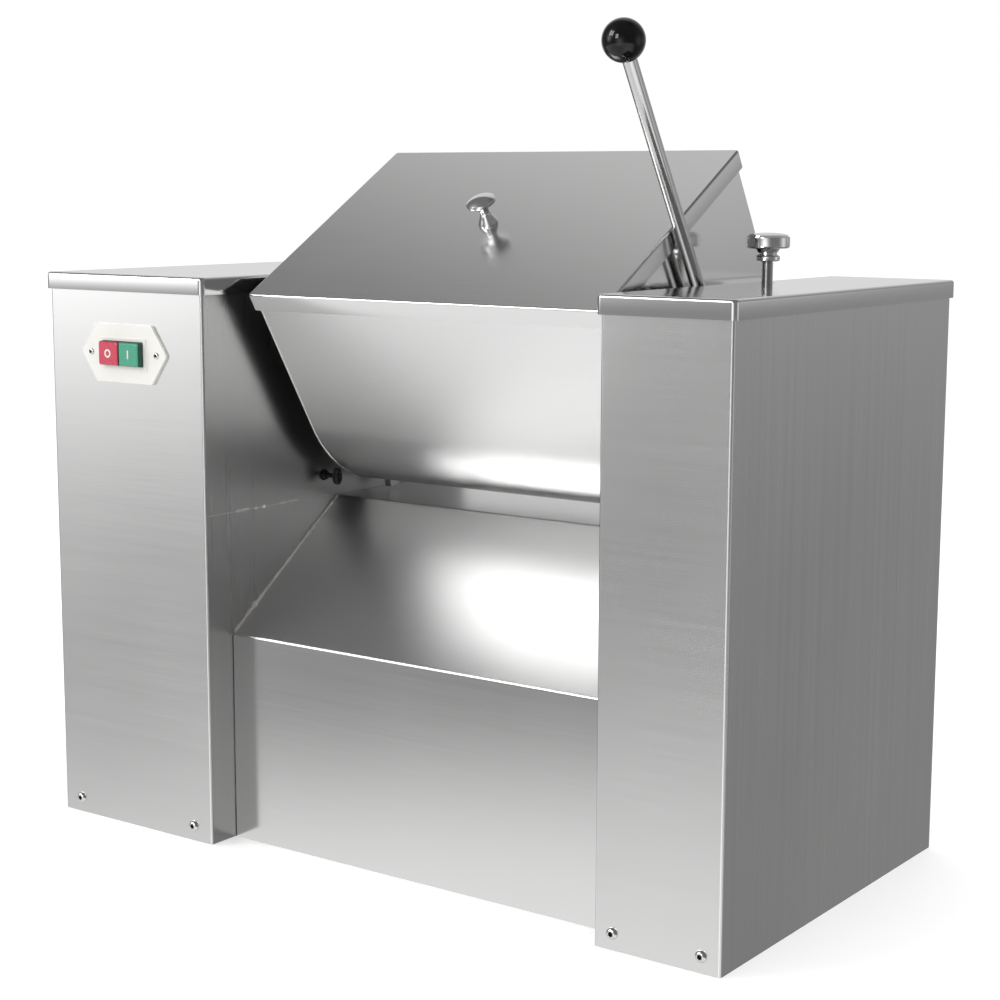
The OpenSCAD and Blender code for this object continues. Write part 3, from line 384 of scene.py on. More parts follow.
def tilted():
    """Turns what is drawn upright round the origin to the trough's place at rest."""
    return Matrix.Translation(AXIS) @ Matrix.Rotation(TILT, 4, "X")


def half_turn(bm, geom, x):
    """Spins what is given round the trough's bottom, and returns its far end."""
    return bmesh.ops.spin(
        bm, geom=geom, cent=(x, 0, 0), axis=(1, 0, 0), angle=math.pi,
        steps=ROUND_STEPS, use_duplicate=False,
    )["geom_last"]


def half_round(bm, x, radius):
    """The trough's outline without its hem: down one wall, round the bottom, up the other."""
    start = bm.verts.new((x, -radius, 0))
    last = half_turn(bm, [start], x)[0]
    tops = []
    for vert, side in ((start, -1), (last, 1)):
        top = bm.verts.new((x, side * radius, RIM - TROUGH_SHEET))
        bm.edges.new((vert, top))
        tops.append((top, side))
    return tops


shell_low, shell_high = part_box("trough_shell")
bm = bmesh.new()
for top, side in half_round(bm, shell_low[0], TROUGH_R):
    fold = side * (TROUGH_R + HEM_OUT - TROUGH_SHEET)
    out = bm.verts.new((shell_low[0], fold, RIM - TROUGH_SHEET))
    down = bm.verts.new((shell_low[0], fold, RIM - HEM_DOWN))
    bm.edges.new((top, out))
    bm.edges.new((out, down))
swept = bmesh.ops.extrude_edge_only(bm, edges=list(bm.edges))["geom"]
moved = points(swept)
bmesh.ops.translate(bm, vec=(shell_high[0] - shell_low[0], 0, 0), verts=moved)
bmesh.ops.recalc_face_normals(bm, faces=bm.faces)
lowest = min(bm.faces, key=lambda f: f.calc_center_median().z)
if lowest.normal.z > 0:
    bmesh.ops.reverse_faces(bm, faces=bm.faces)
bmesh.ops.transform(bm, matrix=tilted(), verts=bm.verts)
TURN = (-TILT, 0, 0)
trough_steel = brushed("satin trough sheet", 0.81, 0.33, "x", 0.02, smudge=0.02)
shell = finished(bm, "trough_sheet", trough_steel)
place(thickened(shell, TROUGH_SHEET), "trough_shell")

end_steel = brushed("polished end plates", 0.70, 0.10, "y", 0.02, TURN, smudge=0.02)
place(joined_copy("trough_end_plates", "trough_ends", end_steel), "trough_end_plates")

BEAD_R = 0.0009
BEAD_SIDES = 8
bead_steel = brushed("ground weld bead", 0.8, 0.25, "x", 0.1)
ends_low, ends_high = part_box("trough_end_plates")
bead_path_r = TROUGH_R - BEAD_R / 2
wall_h = RIM - HEM_DOWN
bm = bmesh.new()
for x in (ends_low[0] + END_SHEET / 2, ends_high[0] - END_SHEET / 2):
    circle = bmesh.ops.create_circle(bm, cap_ends=True, segments=BEAD_SIDES, radius=BEAD_R)
    ring = circle["verts"]
    matrix = Matrix.Translation((x, -bead_path_r, wall_h))
    bmesh.ops.transform(bm, matrix=matrix, verts=ring)
    loop = list({e for v in ring for e in v.link_edges})
    swept = bmesh.ops.extrude_edge_only(bm, edges=loop)["geom"]
    verts = points(swept)
    bmesh.ops.translate(bm, vec=(0, 0, -wall_h), verts=verts)
    lines = [g for g in swept if isinstance(g, bmesh.types.BMEdge)]
    loop = [e for e in lines if all(v in verts for v in e.verts)]
    spun = half_turn(bm, loop + verts, x)
    loop = [g for g in spun if isinstance(g, bmesh.types.BMEdge)]
    swept = bmesh.ops.extrude_edge_only(bm, edges=loop)["geom"]
    verts = points(swept)
    bmesh.ops.translate(bm, vec=(0, 0, wall_h), verts=verts)
    bmesh.ops.contextual_create(bm, geom=verts)
bmesh.ops.recalc_face_normals(bm, faces=bm.faces)
bmesh.ops.transform(bm, matrix=tilted(), verts=bm.verts)
bead = finished(bm, "trough_weld_beads", bead_steel)
place(bead, body="trough")


# Lid.
# A loose stainless tray with a deep folded lip, lifted off by its knob. The top is polished enough
# to mirror the knob, and the folded edge shows as a bright line.
LID_LIP = 0.019
LID_CORNER = 0.0035
LID_BEND = 0.0022
LID_END = 0.0035
lid_low = Vector((ends_low[0] - LID_END, -TROUGH_R - LID_OVER, LID_RISE - LID_LIP))
lid_high = Vector((ends_high[0] + LID_END, TROUGH_R + LID_OVER, LID_RISE))
bm = tray(lid_low, lid_high, LID_CORNER, LID_BEND)
bmesh.ops.transform(bm, matrix=tilted(), verts=bm.verts)
lid_steel = brushed("polished lid sheet", 0.74, 0.19, "x", 0.03, TURN, smudge=0.03)
lid = finished(bm, "lid_tray", lid_steel)
place(thickened(lid, LID_SHEET), "lid_panel")


# Lid knob.
# A turned and chrome plated mushroom on a bolt through the lid, with a flared foot,
# a narrow neck and a shallow crowned head.
def lathe(outline, steps=48):
    """Spins an outline of (radius, height) pairs round the upright line through the origin."""
    bm = bmesh.new()
    verts = [bm.verts.new((radius, 0, height)) for radius, height in outline]
    edges = [bm.edges.new(pair) for pair in zip(verts, verts[1:])]
    bmesh.ops.spin(
        bm, geom=verts + edges, cent=(0, 0, 0), axis=(0, 0, 1), angle=math.tau,
        steps=steps, use_merge=True,
    )
    bmesh.ops.remove_doubles(bm, verts=bm.verts, dist=MERGE_GAP)
    return bm


def turned(outline, piece_name, material, matrix, steps=48, degrees=40):
    """A lathed piece, closed and facing outwards, at its place."""
    bm = lathe(outline, steps)
    bmesh.ops.recalc_face_normals(bm, faces=bm.faces)
    bmesh.ops.transform(bm, matrix=matrix, verts=bm.verts)
    return finished(bm, piece_name, material, degrees)


def plated(name, tone=0.82, rough=0.05):
    """Chrome plate with faint turning lines and thin handling marks."""
    s = Shader(name)
    smears = s.noise(60, 4)
    lines = s.noise(900, 2, (0.1, 0.1, 1))
    gloss = rough + s.ramp(smears, (0.45, 0.0), (0.7, 0.10))
    relief = s.bump(lines, 0.04, 0.0001)
    colour = s.blend(smears, (tone, tone, tone, 1), (tone * 0.93, tone * 0.93, tone * 0.94, 1))
    return s.surface(Base_Color=colour, Metallic=1.0, Roughness=gloss, Normal=relief)


chrome = plated("polished chrome plate")
KNOB_H = 0.031
KNOB_BOLT_R = 0.003
KNOB_BOLT_H = 0.008
knob_outline = [
    (0, -KNOB_BOLT_H), (KNOB_BOLT_R, -KNOB_BOLT_H), (KNOB_BOLT_R, 0),
    (0.0100, 0), (0.0102, 0.0012), (0.0094, 0.0032), (0.0077, 0.0062), (0.0062, 0.0092),
    (0.0052, 0.0120), (0.0048, 0.0140), (0.0052, 0.0164), (0.0068, 0.0188), (0.0098, 0.0208),
    (0.0138, 0.0226), (0.0153, 0.0240), (0.0155, 0.0252), (0.0147, 0.0269), (0.0115, 0.0290),
    (0.0065, 0.0304), (0, KNOB_H),
]
lid_middle = (lid_low.x + lid_high.x) / 2
knob_place = tilted() @ Matrix.Translation((lid_middle, 0, LID_RISE))
place(turned(knob_outline, "lid_mushroom_knob", chrome, knob_place, degrees=24), "lid_knob")
paint("lid_knob_nut", chrome)


# Lever.
# A bright rod clamped in a hub on the right trunnion tips the trough. Its ball is moulded in
# glossy black plastic with a flat foot.
def turned_steel(name, tone=0.66, rough=0.16, stretch=(1, 1, 0.03)):
    """Turned and polished steel bar."""
    s = Shader(name)
    lines = s.noise(700, 3, stretch)
    cloud = s.noise(22, 3)
    light = lines * 0.16 + cloud * 0.10 + 0.37
    dark = (tone * 0.5, tone * 0.5, tone * 0.5, 1)
    bright = (tone * 1.5, tone * 1.5, tone * 1.49, 1)
    gloss = rough + lines * 0.06 + cloud * 0.05
    relief = s.bump(lines, 0.08, 0.0001)
    colour = s.blend(light, dark, bright)
    return s.surface(Base_Color=colour, Metallic=1.0, Roughness=gloss, Normal=relief)


bright_steel = turned_steel("turned bright steel")
rod_steel = turned_steel("polished rod", 0.62, 0.10)
LEVER_LEAN = math.radians(0.8)
LEVER_REACH = 0.3717
BALL_R = 0.020
BALL_FLAT = 0.018
BALL_STEPS = 36
lever_low, lever_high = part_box("lever_rod")
lever_x = (lever_low[0] + lever_high[0]) / 2
on_lever = tilted() @ Matrix.Translation((lever_x, 0, 0)) @ Matrix.Rotation(LEVER_LEAN, 4, "X")
place(joined_copy("lever_rod", "lever_bar", rod_steel), "lever_rod")
paint("lever_hub", bright_steel)
s = Shader("glossy black ball")
dust = s.noise(180, 3)
black_ball = s.surface(
    Base_Color=s.blend(dust, (0.0015, 0.0015, 0.0015, 1), (0.004, 0.004, 0.004, 1)),
    Roughness=0.04 + dust * 0.05, Specular_IOR_Level=0.4,
)
foot_r = math.sqrt(BALL_R ** 2 - BALL_FLAT ** 2)
ball_outline = [(0, -BALL_FLAT), (foot_r, -BALL_FLAT)]
first = math.degrees(math.asin(-BALL_FLAT / BALL_R))
for step in range(1, BALL_STEPS + 1):
    angle = math.radians(first + (90 - first) * step / BALL_STEPS)
    ball_outline.append((BALL_R * math.cos(angle), BALL_R * math.sin(angle)))
ball_outline[-1] = (0, BALL_R)
ball_place = on_lever @ Matrix.Translation((0, 0, LEVER_REACH))
place(turned(ball_outline, "lever_knob", black_ball, ball_place, 64), "lever_ball")


# Lock screw.
# A large flat thumb head with chamfered edges over a cone and a collar, chrome plated, on a
# threaded stem that runs down through the right top.
def add_part(bm, part, matrix):
    """Puts a part that was built at the origin into a larger piece."""
    bmesh.ops.transform(part, matrix=matrix, verts=part.verts)
    held = bpy.data.meshes.new("held")
    part.to_mesh(held)
    part.free()
    bm.from_mesh(held)
    bpy.data.meshes.remove(held)


THREAD_R = 0.006
THREAD_PITCH = 0.00175
THREAD_DEPTH = 0.0009
THREAD_STEPS = 32
ROOT_SINK = 0.0003
TIP_R = 0.004
TIP_H = 0.003
TIP_CHAMFER = 0.0002
HEAD_H = 0.028
CORE_IN_HEAD = 0.001
screw_low, screw_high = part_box("lock_screw")
top = screw_high[2]
stem_low = screw_low[2] + TIP_H
collar_low = top - HEAD_H
lock_place = Matrix.Translation((*LOCK_SPOT, 0))
over_collar = [
    (0, 0), (0.0060, 0), (0.0095, 0), (0.0117, 0.0010), (0.0120, 0.0020), (0.0120, 0.0048),
    (0.0112, 0.0058), (0.0092, 0.0068), (0.0090, 0.0080), (0.0105, 0.0100),
]
below_top = [
    (0.0121, 0.0155), (0.0196, 0.0152), (0.0210, 0.0142), (0.0215, 0.0130), (0.0215, 0.0050),
    (0.0211, 0.0040), (0.0200, 0.0034), (0.0198, 0.0028), (0.0180, 0.0016), (0.0130, 0.0006),
    (0.0070, 0.0001), (0, 0),
]
head_outline = [(radius, collar_low + height) for radius, height in over_collar]
head_outline += [(radius, top - depth) for radius, depth in below_top]
place(turned(head_outline, "lock_screw_head", chrome, lock_place, 64, 24), body="screw")

turns = round((collar_low - stem_low) / THREAD_PITCH) - 1
bm = bmesh.new()
core_r = THREAD_R - THREAD_DEPTH
root_r = core_r - ROOT_SINK
ridge = ((root_r, 0), (THREAD_R, THREAD_PITCH / 2), (root_r, THREAD_PITCH))
profile = [bm.verts.new((radius, 0, stem_low + height)) for radius, height in ridge]
end = bm.faces.new(profile)
swept = bmesh.ops.spin(
    bm, geom=profile + list(end.edges), cent=(0, 0, 0), axis=(0, 0, 1), angle=math.tau * turns,
    steps=THREAD_STEPS * turns, dvec=(0, 0, THREAD_PITCH / THREAD_STEPS), use_duplicate=False,
)["geom_last"]
bmesh.ops.contextual_create(bm, geom=points(swept))
core_top = collar_low + CORE_IN_HEAD
core_outline = [
    (0, screw_low[2]), (TIP_R, screw_low[2]), (TIP_R, stem_low - TIP_CHAMFER), (core_r, stem_low),
    (core_r, core_top), (0, core_top),
]
add_part(bm, lathe(core_outline, THREAD_STEPS), Matrix())
bmesh.ops.recalc_face_normals(bm, faces=bm.faces)
bmesh.ops.transform(bm, matrix=lock_place, verts=bm.verts)
thread_steel = turned_steel("cut thread steel", 0.60, 0.20, (1, 1, 1))
place(finished(bm, "lock_screw_stem", thread_steel, 50), "lock_screw")


# Switch.
# An off-white moulded plate with pointed ends holds a red and a green push button in a raised
# frame. Two small screws fix it. The buttons carry the plain marks for off and on.
def moulded(name, colour, rough=0.35, grain=0.02, coat=0.0):
    """Moulded plastic with a fine eroded texture and slightly uneven gloss."""
    s = Shader(name)
    pores = s.noise(1600, 2)
    cloud = s.noise(30, 3)
    shade = tuple(part * 0.9 for part in colour)
    gloss = rough + (cloud - 0.5) * 0.12
    relief = s.bump(pores, grain, 0.0001)
    tint = s.blend(cloud, (*shade, 1), (*colour, 1))
    return s.surface(
        Base_Color=tint, Roughness=gloss, Normal=relief, Coat_Weight=coat, Coat_Roughness=0.1,
    )


def rounded(piece, width, segments=3, degrees=40):
    """A live bevel on the sharp edges of a piece."""
    edge = piece.modifiers.new("edges", "BEVEL")
    edge.width = width
    edge.segments = segments
    edge.limit_method = "ANGLE"
    edge.angle_limit = math.radians(degrees)
    edge.harden_normals = True
    return piece


PLATE_EDGE = 0.0006
BUTTON_EDGE = 0.0012
ivory = moulded("off-white moulding", (0.92, 0.91, 0.87), 0.38)
plate = joined_copy("switch_plate", "switch_frame", ivory)
place(rounded(plate, PLATE_EDGE), "switch_plate")
MARK_T = 0.0003
RED = (0.62, 0.04, 0.09)
GREEN = (0.05, 0.36, 0.22)
FLANK_PAINTED_SHADE = 0.18
FLANK_SLOT = 1
for node, colour, name in (("stop_button", RED, "red"), ("start_button", GREEN, "green")):
    face_finish = moulded(name + " button moulding", colour, 0.28, 0.01, 0.3)
    # The sides of each button, which face away from the front, get a much darker copy of its colour:
    # painted shade.
    flank = tuple(part * FLANK_PAINTED_SHADE for part in colour)
    flank_painted_shade = moulded(name + " button flank", flank, 0.4)
    button = joined_copy(node, node.replace("_", "_push_"), face_finish)
    button.data.materials.append(flank_painted_shade)
    for vert in button.data.vertices:
        if vert.co.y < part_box(node)[0][1] + MARK_T:
            vert.co.y += MARK_T
    for face in button.data.polygons:
        if face.normal.y > -0.5:
            face.material_index = FLANK_SLOT
    place(rounded(button, BUTTON_EDGE), node)

white_mark = moulded("white mark", (0.85, 0.84, 0.80), 0.4)
MARK_H = 0.009
MARK_W = 0.0018
MARK_STEPS = 40


def front_of(node):
    """The middle of the front of a node's box."""
    low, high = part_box(node)
    return Vector(((low[0] + high[0]) / 2, low[1], (low[2] + high[2]) / 2))


outer = MARK_H / 2
inner = outer - MARK_W
back = -2 * MARK_T
bm = lathe([(inner, back), (outer, back), (outer, 0), (inner, 0), (inner, back)], MARK_STEPS)
bmesh.ops.recalc_face_normals(bm, faces=bm.faces)
matrix = Matrix.Translation(front_of("stop_button")) @ Matrix.Rotation(math.pi / 2, 4, "X")
bmesh.ops.transform(bm, matrix=matrix, verts=bm.verts)
place(finished(bm, "stop_mark", white_mark), body="stop")
half = Vector((MARK_W / 2, MARK_T, MARK_H / 2))
start_spot = front_of("start_button") + Vector((0, MARK_T, 0))
bm = scaled_box(start_spot - half, start_spot + half)
place(finished(bm, "start_mark", white_mark), body="start")
paint("switch_body", moulded("black moulding", (0.03, 0.03, 0.03), 0.45))


# Small screws that show.
# Button head screws with a hexagon socket hold the casings at the foot and the switch plate.
# The sockets are deep, and their insides are painted near black: painted shade.
SCREW_STEPS = 24
HEXAGON = 6
SOCKET_SLOT = 1


def socket_screw(head_r, head_h, socket_r, shank):
    """A screw along Z with its head's seat at the origin."""
    shank_r = head_r * 0.5
    outline = [
        (0, -shank), (shank_r, -shank), (shank_r, 0), (head_r, 0), (head_r, head_h * 0.2),
        (head_r * 0.93, head_h * 0.55), (head_r * 0.78, head_h * 0.82), (head_r * 0.58, head_h),
    ]
    bm = lathe(outline, SCREW_STEPS)
    rim = [e for e in bm.edges if len(e.link_faces) == 1]
    matrix = Matrix.Translation((0, 0, head_h * 0.97))
    circle = bmesh.ops.create_circle(bm, segments=HEXAGON, radius=socket_r, matrix=matrix)
    socket = circle["verts"]
    mouth = list({e for v in socket for e in v.link_edges})
    bmesh.ops.bridge_loops(bm, edges=rim + mouth)
    sunk = bmesh.ops.extrude_edge_only(bm, edges=mouth)["geom"]
    deep = points(sunk)
    bmesh.ops.translate(bm, vec=(0, 0, -head_h * 0.8), verts=deep)
    floor = bmesh.ops.contextual_create(bm, geom=deep)["faces"]
    walls = [g for g in sunk if isinstance(g, bmesh.types.BMFace)]
    for face in floor + walls:
        face.material_index = SOCKET_SLOT
    return bm


def screw_set(piece_name, node, seats, *sizes):
    """Screws whose heads sit at the given points, to the front (-1) or the back (1)."""
    bm = bmesh.new()
    for spot, sign in seats:
        matrix = Matrix.Translation(spot) @ Matrix.Rotation(-sign * math.pi / 2, 4, "X")
        add_part(bm, socket_screw(*sizes), matrix)
    bmesh.ops.recalc_face_normals(bm, faces=bm.faces)
    screws = finished(bm, piece_name, bright_steel, 35)
    screws.data.materials.append(socket_painted_shade)
    place(screws, node)


# The inside of each socket is painted near black as shade, mottled a little.
s = Shader("socket in painted shade")
grime_and_painted_shade = s.noise(900, 3)
socket_painted_shade = s.surface(
    Base_Color=s.blend(grime_and_painted_shade, (0.010, 0.010, 0.010, 1), (0.03, 0.03, 0.03, 1)),
    Metallic=0.3, Roughness=0.5 + grime_and_painted_shade * 0.2,
)
FOOT_SCREW_Z = 0.016
FOOT_SCREWS_X = (-0.3955, -0.2225, 0.3075, 0.4015)
CASING_Y = 0.224
FOOT_HEAD_R = 0.0058
FOOT_SOCKET_R = 0.0027
FOOT_SHANK = 0.009
foot_head = -CASING_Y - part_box("casing_screws")[0][1]
seats = [((x, sign * CASING_Y, FOOT_SCREW_Z), sign) for x in FOOT_SCREWS_X for sign in (-1, 1)]
foot_sizes = (FOOT_HEAD_R, foot_head, FOOT_SOCKET_R, FOOT_SHANK)
screw_set("casing_foot_screws", "casing_screws", seats, *foot_sizes)
plate_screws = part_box("switch_screws")
SWITCH_HEAD_R = 0.0036
SWITCH_HEAD_H = 0.0016
SWITCH_SOCKET_R = 0.0020
SWITCH_SHANK = 0.006
PLATE_FACE = -0.227
ends = (plate_screws[0][0] + SWITCH_HEAD_R, plate_screws[1][0] - SWITCH_HEAD_R)
middle_z = (plate_screws[0][2] + plate_screws[1][2]) / 2
seats = [((x, PLATE_FACE, middle_z), -1) for x in ends]
switch_sizes = (SWITCH_HEAD_R, SWITCH_HEAD_H, SWITCH_SOCKET_R, SWITCH_SHANK)
screw_set("switch_plate_screws", "switch_screws", seats, *switch_sizes)


# Tilt stops.
# A blackened stud with an oval pad stands on the left wall, in front of the trough's
# shaft, and another behind it. A nut locks each at the wall.
s = Shader("blackened steel")
scuff = s.noise(240, 4)
worn = s.ramp(scuff, (0.5, 0.0), (0.8, 1.0))
dark_steel = s.surface(
    Base_Color=s.blend(worn, (0.02, 0.02, 0.022, 1), (0.10, 0.10, 0.10, 1)),
    Metallic=0.8, Roughness=0.35 + scuff * 0.2,
)
WALL_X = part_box("left_casing")[1][0]
pad_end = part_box("tilt_stops")[1][0]
STOP_SPOTS = ((-0.0369, 0.376, 1.18), (0.181, 0.493, 1.0))
STUD_R = 0.0026
STUD_STEPS = 32
PAD_R = 0.0080
PAD_BACK = 0.0156
PAD_FLAT = 0.65
reach = pad_end - WALL_X
stud_outline = [
    (0, 0), (0.0062, 0), (0.0062, 0.0008), (0.0048, 0.0010), (0.0048, 0.0040), (0.0042, 0.0046),
    (STUD_R, 0.0046), (STUD_R, 0.0155), (0.0045, 0.0157), (0.0068, 0.0160), (0.0078, 0.0166),
    (PAD_R, 0.0176), (PAD_R, reach - 0.0012), (0.0072, reach - 0.0002), (0.0060, reach), (0, reach),
]
bm = bmesh.new()
for y, z, tall in STOP_SPOTS:
    stud = lathe(stud_outline, STUD_STEPS)
    pad = [v for v in stud.verts if v.co.z > PAD_BACK]
    bmesh.ops.scale(stud, vec=(tall, PAD_FLAT, 1), verts=pad)
    add_part(bm, stud, Matrix.Translation((WALL_X, y, z)) @ Matrix.Rotation(math.pi / 2, 4, "Y"))
bmesh.ops.recalc_face_normals(bm, faces=bm.faces)
place(finished(bm, "tilt_stop_studs", dark_steel), "tilt_stops")
for node in ("bearing_bolts", "disc_screws"):
    paint(node, dark_steel)


# Welds on the left wall.
# The apron is joined to the wall along its slope by an uneven bead laid by hand. A seam of the
# wall, level with the ridge, shows as a fine line with short bright tacks.
WELD_SIDES = 10
LUMP_SPREAD = 0.004
END_SHRINK = 0.6


def weld(bm, start, end, radius, rings, rough, seed, lumps=()):
    """A bead from start to end, whose rings are a little larger or smaller than the last."""
    along = end - start
    turn = along.to_track_quat("Z", "Y").to_matrix().to_4x4()
    size = radius * 0.4
    first = Matrix.Translation(start) @ turn
    circle = bmesh.ops.create_circle(
        bm, cap_ends=True, segments=WELD_SIDES, radius=size, matrix=first,
    )
    ring = circle["verts"]
    centre = start.copy()
    for step in range(1, rings + 1):
        share = step / rings
        wobble = noise.noise(Vector((step * 0.37, seed, 0)))
        grown = radius * (1 + rough * wobble + 0.10 * math.cos(step * 2.1))
        for where, more in lumps:
            grown += more * math.exp(-((share - where) * along.length / LUMP_SPREAD) ** 2)
        if step in (1, rings):
            grown *= END_SHRINK
        drift = Vector((0, noise.noise(Vector((step * 0.21, seed, 5))), 0)) * radius * 0.4
        target = start + along * share + drift
        touching = {e for v in ring for e in v.link_edges}
        loop = [e for e in touching if all(v in ring for v in e.verts)]
        swept = bmesh.ops.extrude_edge_only(bm, edges=loop)["geom"]
        ring = points(swept)
        bmesh.ops.translate(bm, vec=target - centre, verts=ring)
        bmesh.ops.scale(bm, vec=(grown / size,) * 3, space=Matrix.Translation(-target), verts=ring)
        centre = target
        size = grown
    bmesh.ops.contextual_create(bm, geom=ring)


s = Shader("weld metal")
ripple = s.noise(420, 4)
tarnish = s.noise(35, 3)
weld_metal = s.surface(
    Base_Color=s.blend(tarnish, (0.62, 0.60, 0.56, 1), (0.90, 0.88, 0.84, 1)),
    Metallic=1.0, Roughness=0.34 + ripple * 0.2, Normal=s.bump(ripple, 0.35, 0.0003),
)
WELD_OFF = 0.0009
bead_x = WALL_X + WELD_OFF
SLOPE_WELD = (Vector((bead_x, -0.1855, 0.2249)), Vector((bead_x, -0.0145, 0.3514)))
SEAM_Z = 0.353
SEAM = (-0.2235, -0.016)
TACKS = ((-0.179, -0.159), (-0.150, -0.146), (-0.137, -0.134), (-0.111, -0.081))
TACK_LIFT = 0.0004
LUMPS = (
    (0.0065, 0.0010), (0.028, 0.0010), (0.040, 0.0026), (0.052, 0.0008),
    (0.105, 0.0008), (0.150, 0.0022), (0.160, 0.0014), (0.199, 0.0016),
)
bm = bmesh.new()
length = (SLOPE_WELD[1] - SLOPE_WELD[0]).length
lumps = [(where / length, more) for where, more in LUMPS]
weld(bm, *SLOPE_WELD, radius=0.0014, rings=150, rough=0.7, seed=3, lumps=lumps)
seam_ends = [Vector((WALL_X, y, SEAM_Z)) for y in SEAM]
weld(bm, *seam_ends, radius=0.0003, rings=90, rough=0.5, seed=7)
for number, (near, far) in enumerate(TACKS):
    tack_ends = (Vector((WALL_X, near, SEAM_Z)), Vector((WALL_X, far, SEAM_Z + TACK_LIFT)))
    weld(bm, *tack_ends, radius=0.0017, rings=16, rough=0.6, seed=11 + number)
bmesh.ops.recalc_face_normals(bm, faces=bm.faces)
place(finished(bm, "wall_welds", weld_metal, 60), body="base")


# Frame, bearings and drive inside the pedestals.
# Painted square tube and plates carry cast and bronze bearing parts. They are seen only from
# below, but each has its own finish.
def painted(name, colour, rough=0.45):
    """Brushed-on primer or enamel over rough metal, with a little dust."""
    s = Shader(name)
    orange = s.noise(300, 2)
    dust = s.noise(12, 4)
    pale = tuple(min(1, part * 1.25 + 0.02) for part in colour)
    mask = s.ramp(dust, (0.45, 0.0), (0.75, 1.0))
    relief = s.bump(orange, 0.12, 0.0003)
    tint = s.blend(mask, (*colour, 1), (*pale, 1))
    return s.surface(Base_Color=tint, Roughness=rough + dust * 0.15, Normal=relief)


primer = painted("grey primer", (0.16, 0.165, 0.17), 0.5)
enamel = painted("blue-grey enamel", (0.07, 0.12, 0.20), 0.35)
PRIMED = (
    "base_x_rails", "base_y_rails", "frame_uprights", "frame_top_rails", "motor_bars",
    "lock_bracket", "left_bearing_plate", "right_bearing_plate", "outer_bearing_plate",
)
for node in PRIMED:
    paint(node, primer)
for node in ("motor_housing", "motor_end_shields"):
    paint(node, enamel)
s = Shader("machined cast iron")
grit = s.noise(500, 4)
iron = s.surface(
    Base_Color=s.blend(grit, (0.16, 0.16, 0.165, 1), (0.28, 0.28, 0.285, 1)),
    Metallic=0.9, Roughness=0.4 + grit * 0.2, Normal=s.bump(grit, 0.2, 0.0003),
)
for node in ("trunnion_housings", "drive_gear", "pinion", "large_pulley", "motor_pulley"):
    paint(node, iron)
s = Shader("sintered bronze")
grit = s.noise(900, 3)
bronze = s.surface(
    Base_Color=s.blend(grit, (0.42, 0.25, 0.10, 1), (0.60, 0.38, 0.17, 1)),
    Metallic=1.0, Roughness=0.35 + grit * 0.15,
)
for node in ("trunnion_bushes", "shaft_bearings", "shaft_bushes", "lock_pad"):
    paint(node, bronze)
s = Shader("laminations and windings")
turns_pattern = s.noise(400, 2, (1, 0.05, 0.05))
windings = s.surface(
    Base_Color=s.blend(turns_pattern, (0.20, 0.08, 0.03, 1), (0.45, 0.22, 0.10, 1)),
    Metallic=0.6, Roughness=0.4 + turns_pattern * 0.2,
)
paint("motor_stator", windings)
BRIGHT = (
    "plate_spacers", "trunnions", "lock_disc", "stop_ear", "paddle_shaft", "countershaft",
    "motor_shaft",
)
for node in BRIGHT:
    paint(node, bright_steel)
for node in ("paddle_arms", "paddle_blades"):
    paint(node, trough_steel)
paint("shaft_seals", moulded("white seal", (0.80, 0.80, 0.78), 0.3))
black = bpy.data.materials["black moulding"]
for node in ("motor_fan_cover", "motor_terminal_box", "motor_fan", "cable_gland"):
    paint(node, black)
s = Shader("belt rubber")
fibres = s.noise(700, 3, (1, 0.2, 0.2))
belt_rubber = s.surface(
    Base_Color=s.blend(fibres, (0.012, 0.012, 0.012, 1), (0.035, 0.034, 0.033, 1)),
    Roughness=0.6 + fibres * 0.2, Normal=s.bump(fibres, 0.2, 0.0003),
)
paint("drive_belt", belt_rubber)


# Studio.
# A plain pale floor, a white surround and soft lamps, with the camera where the photograph
# was taken from.
FLOOR_SIZE = 30
FLOOR_DROP = 0.0005
FLOOR_GLOW = 0.35
bm = bmesh.new()
bmesh.ops.create_grid(bm, x_segments=1, y_segments=1, size=FLOOR_SIZE)
s = Shader("pale floor")
mottle = s.noise(3, 2)
pale = s.blend(mottle, (0.80, 0.80, 0.80, 1), (0.83, 0.83, 0.83, 1))
paper = s.node("BsdfDiffuse", None, {"Color": pale})
seen = s.node("LightPath")
glow = s.node("Emission", None, {"Color": (1, 1, 1, 1), "Strength": seen * FLOOR_GLOW})
both = s.node("AddShader", None, {0: paper, 1: glow})
s.node("OutputMaterial", None, {"Surface": both})
floor = finished(bm, "studio_floor", s.material)
floor.data.transform(Matrix.Translation((0, 0, -FLOOR_DROP)))
floor.visible_glossy = False

world = bpy.data.worlds.new("studio")
bpy.context.scene.world = world
world.use_nodes = True
s = Shader("studio", world.node_tree)
camera_ray = s.node("LightPath", out=0)
glossy_ray = s.node("LightPath", out=3)
through_ray = s.node("LightPath", out=6)
shown = s.node("Math", {"operation": "MAXIMUM"}, {0: camera_ray, 1: through_ray})
facing = s.node("TexCoord", out=0)


def component(axis):
    """How much of the direction that is looked at lies along an axis."""
    return s.node("VectorMath", {"operation": "DOT_PRODUCT"}, {0: facing, 1: tuple(axis)}, out=1)


def lobe(direction, power):
    """1 towards a direction, and falling off round it."""
    aim = Vector(direction).normalized()
    return (0.5 + component(aim) * 0.5).power(power)


def rise(value, low, high):
    """0 below low, 1 above high, and a soft step between them."""
    settings = {"interpolation_type": "SMOOTHSTEP"}
    return s.node("MapRange", settings, {"Value": value, "From Min": low, "From Max": high})


def offset(axis, middle):
    """How far a direction lies from middle along an axis, to either side."""
    return s.node("Math", {"operation": "ABSOLUTE"}, {0: component(axis) - middle})


def towards(aim):
    """1 in the half of the surround that aim points to, 0 in the other."""
    return rise(component(aim), 0.0, 0.1)


SIDE_BLUR = 0.01
END_BLUR = 0.015


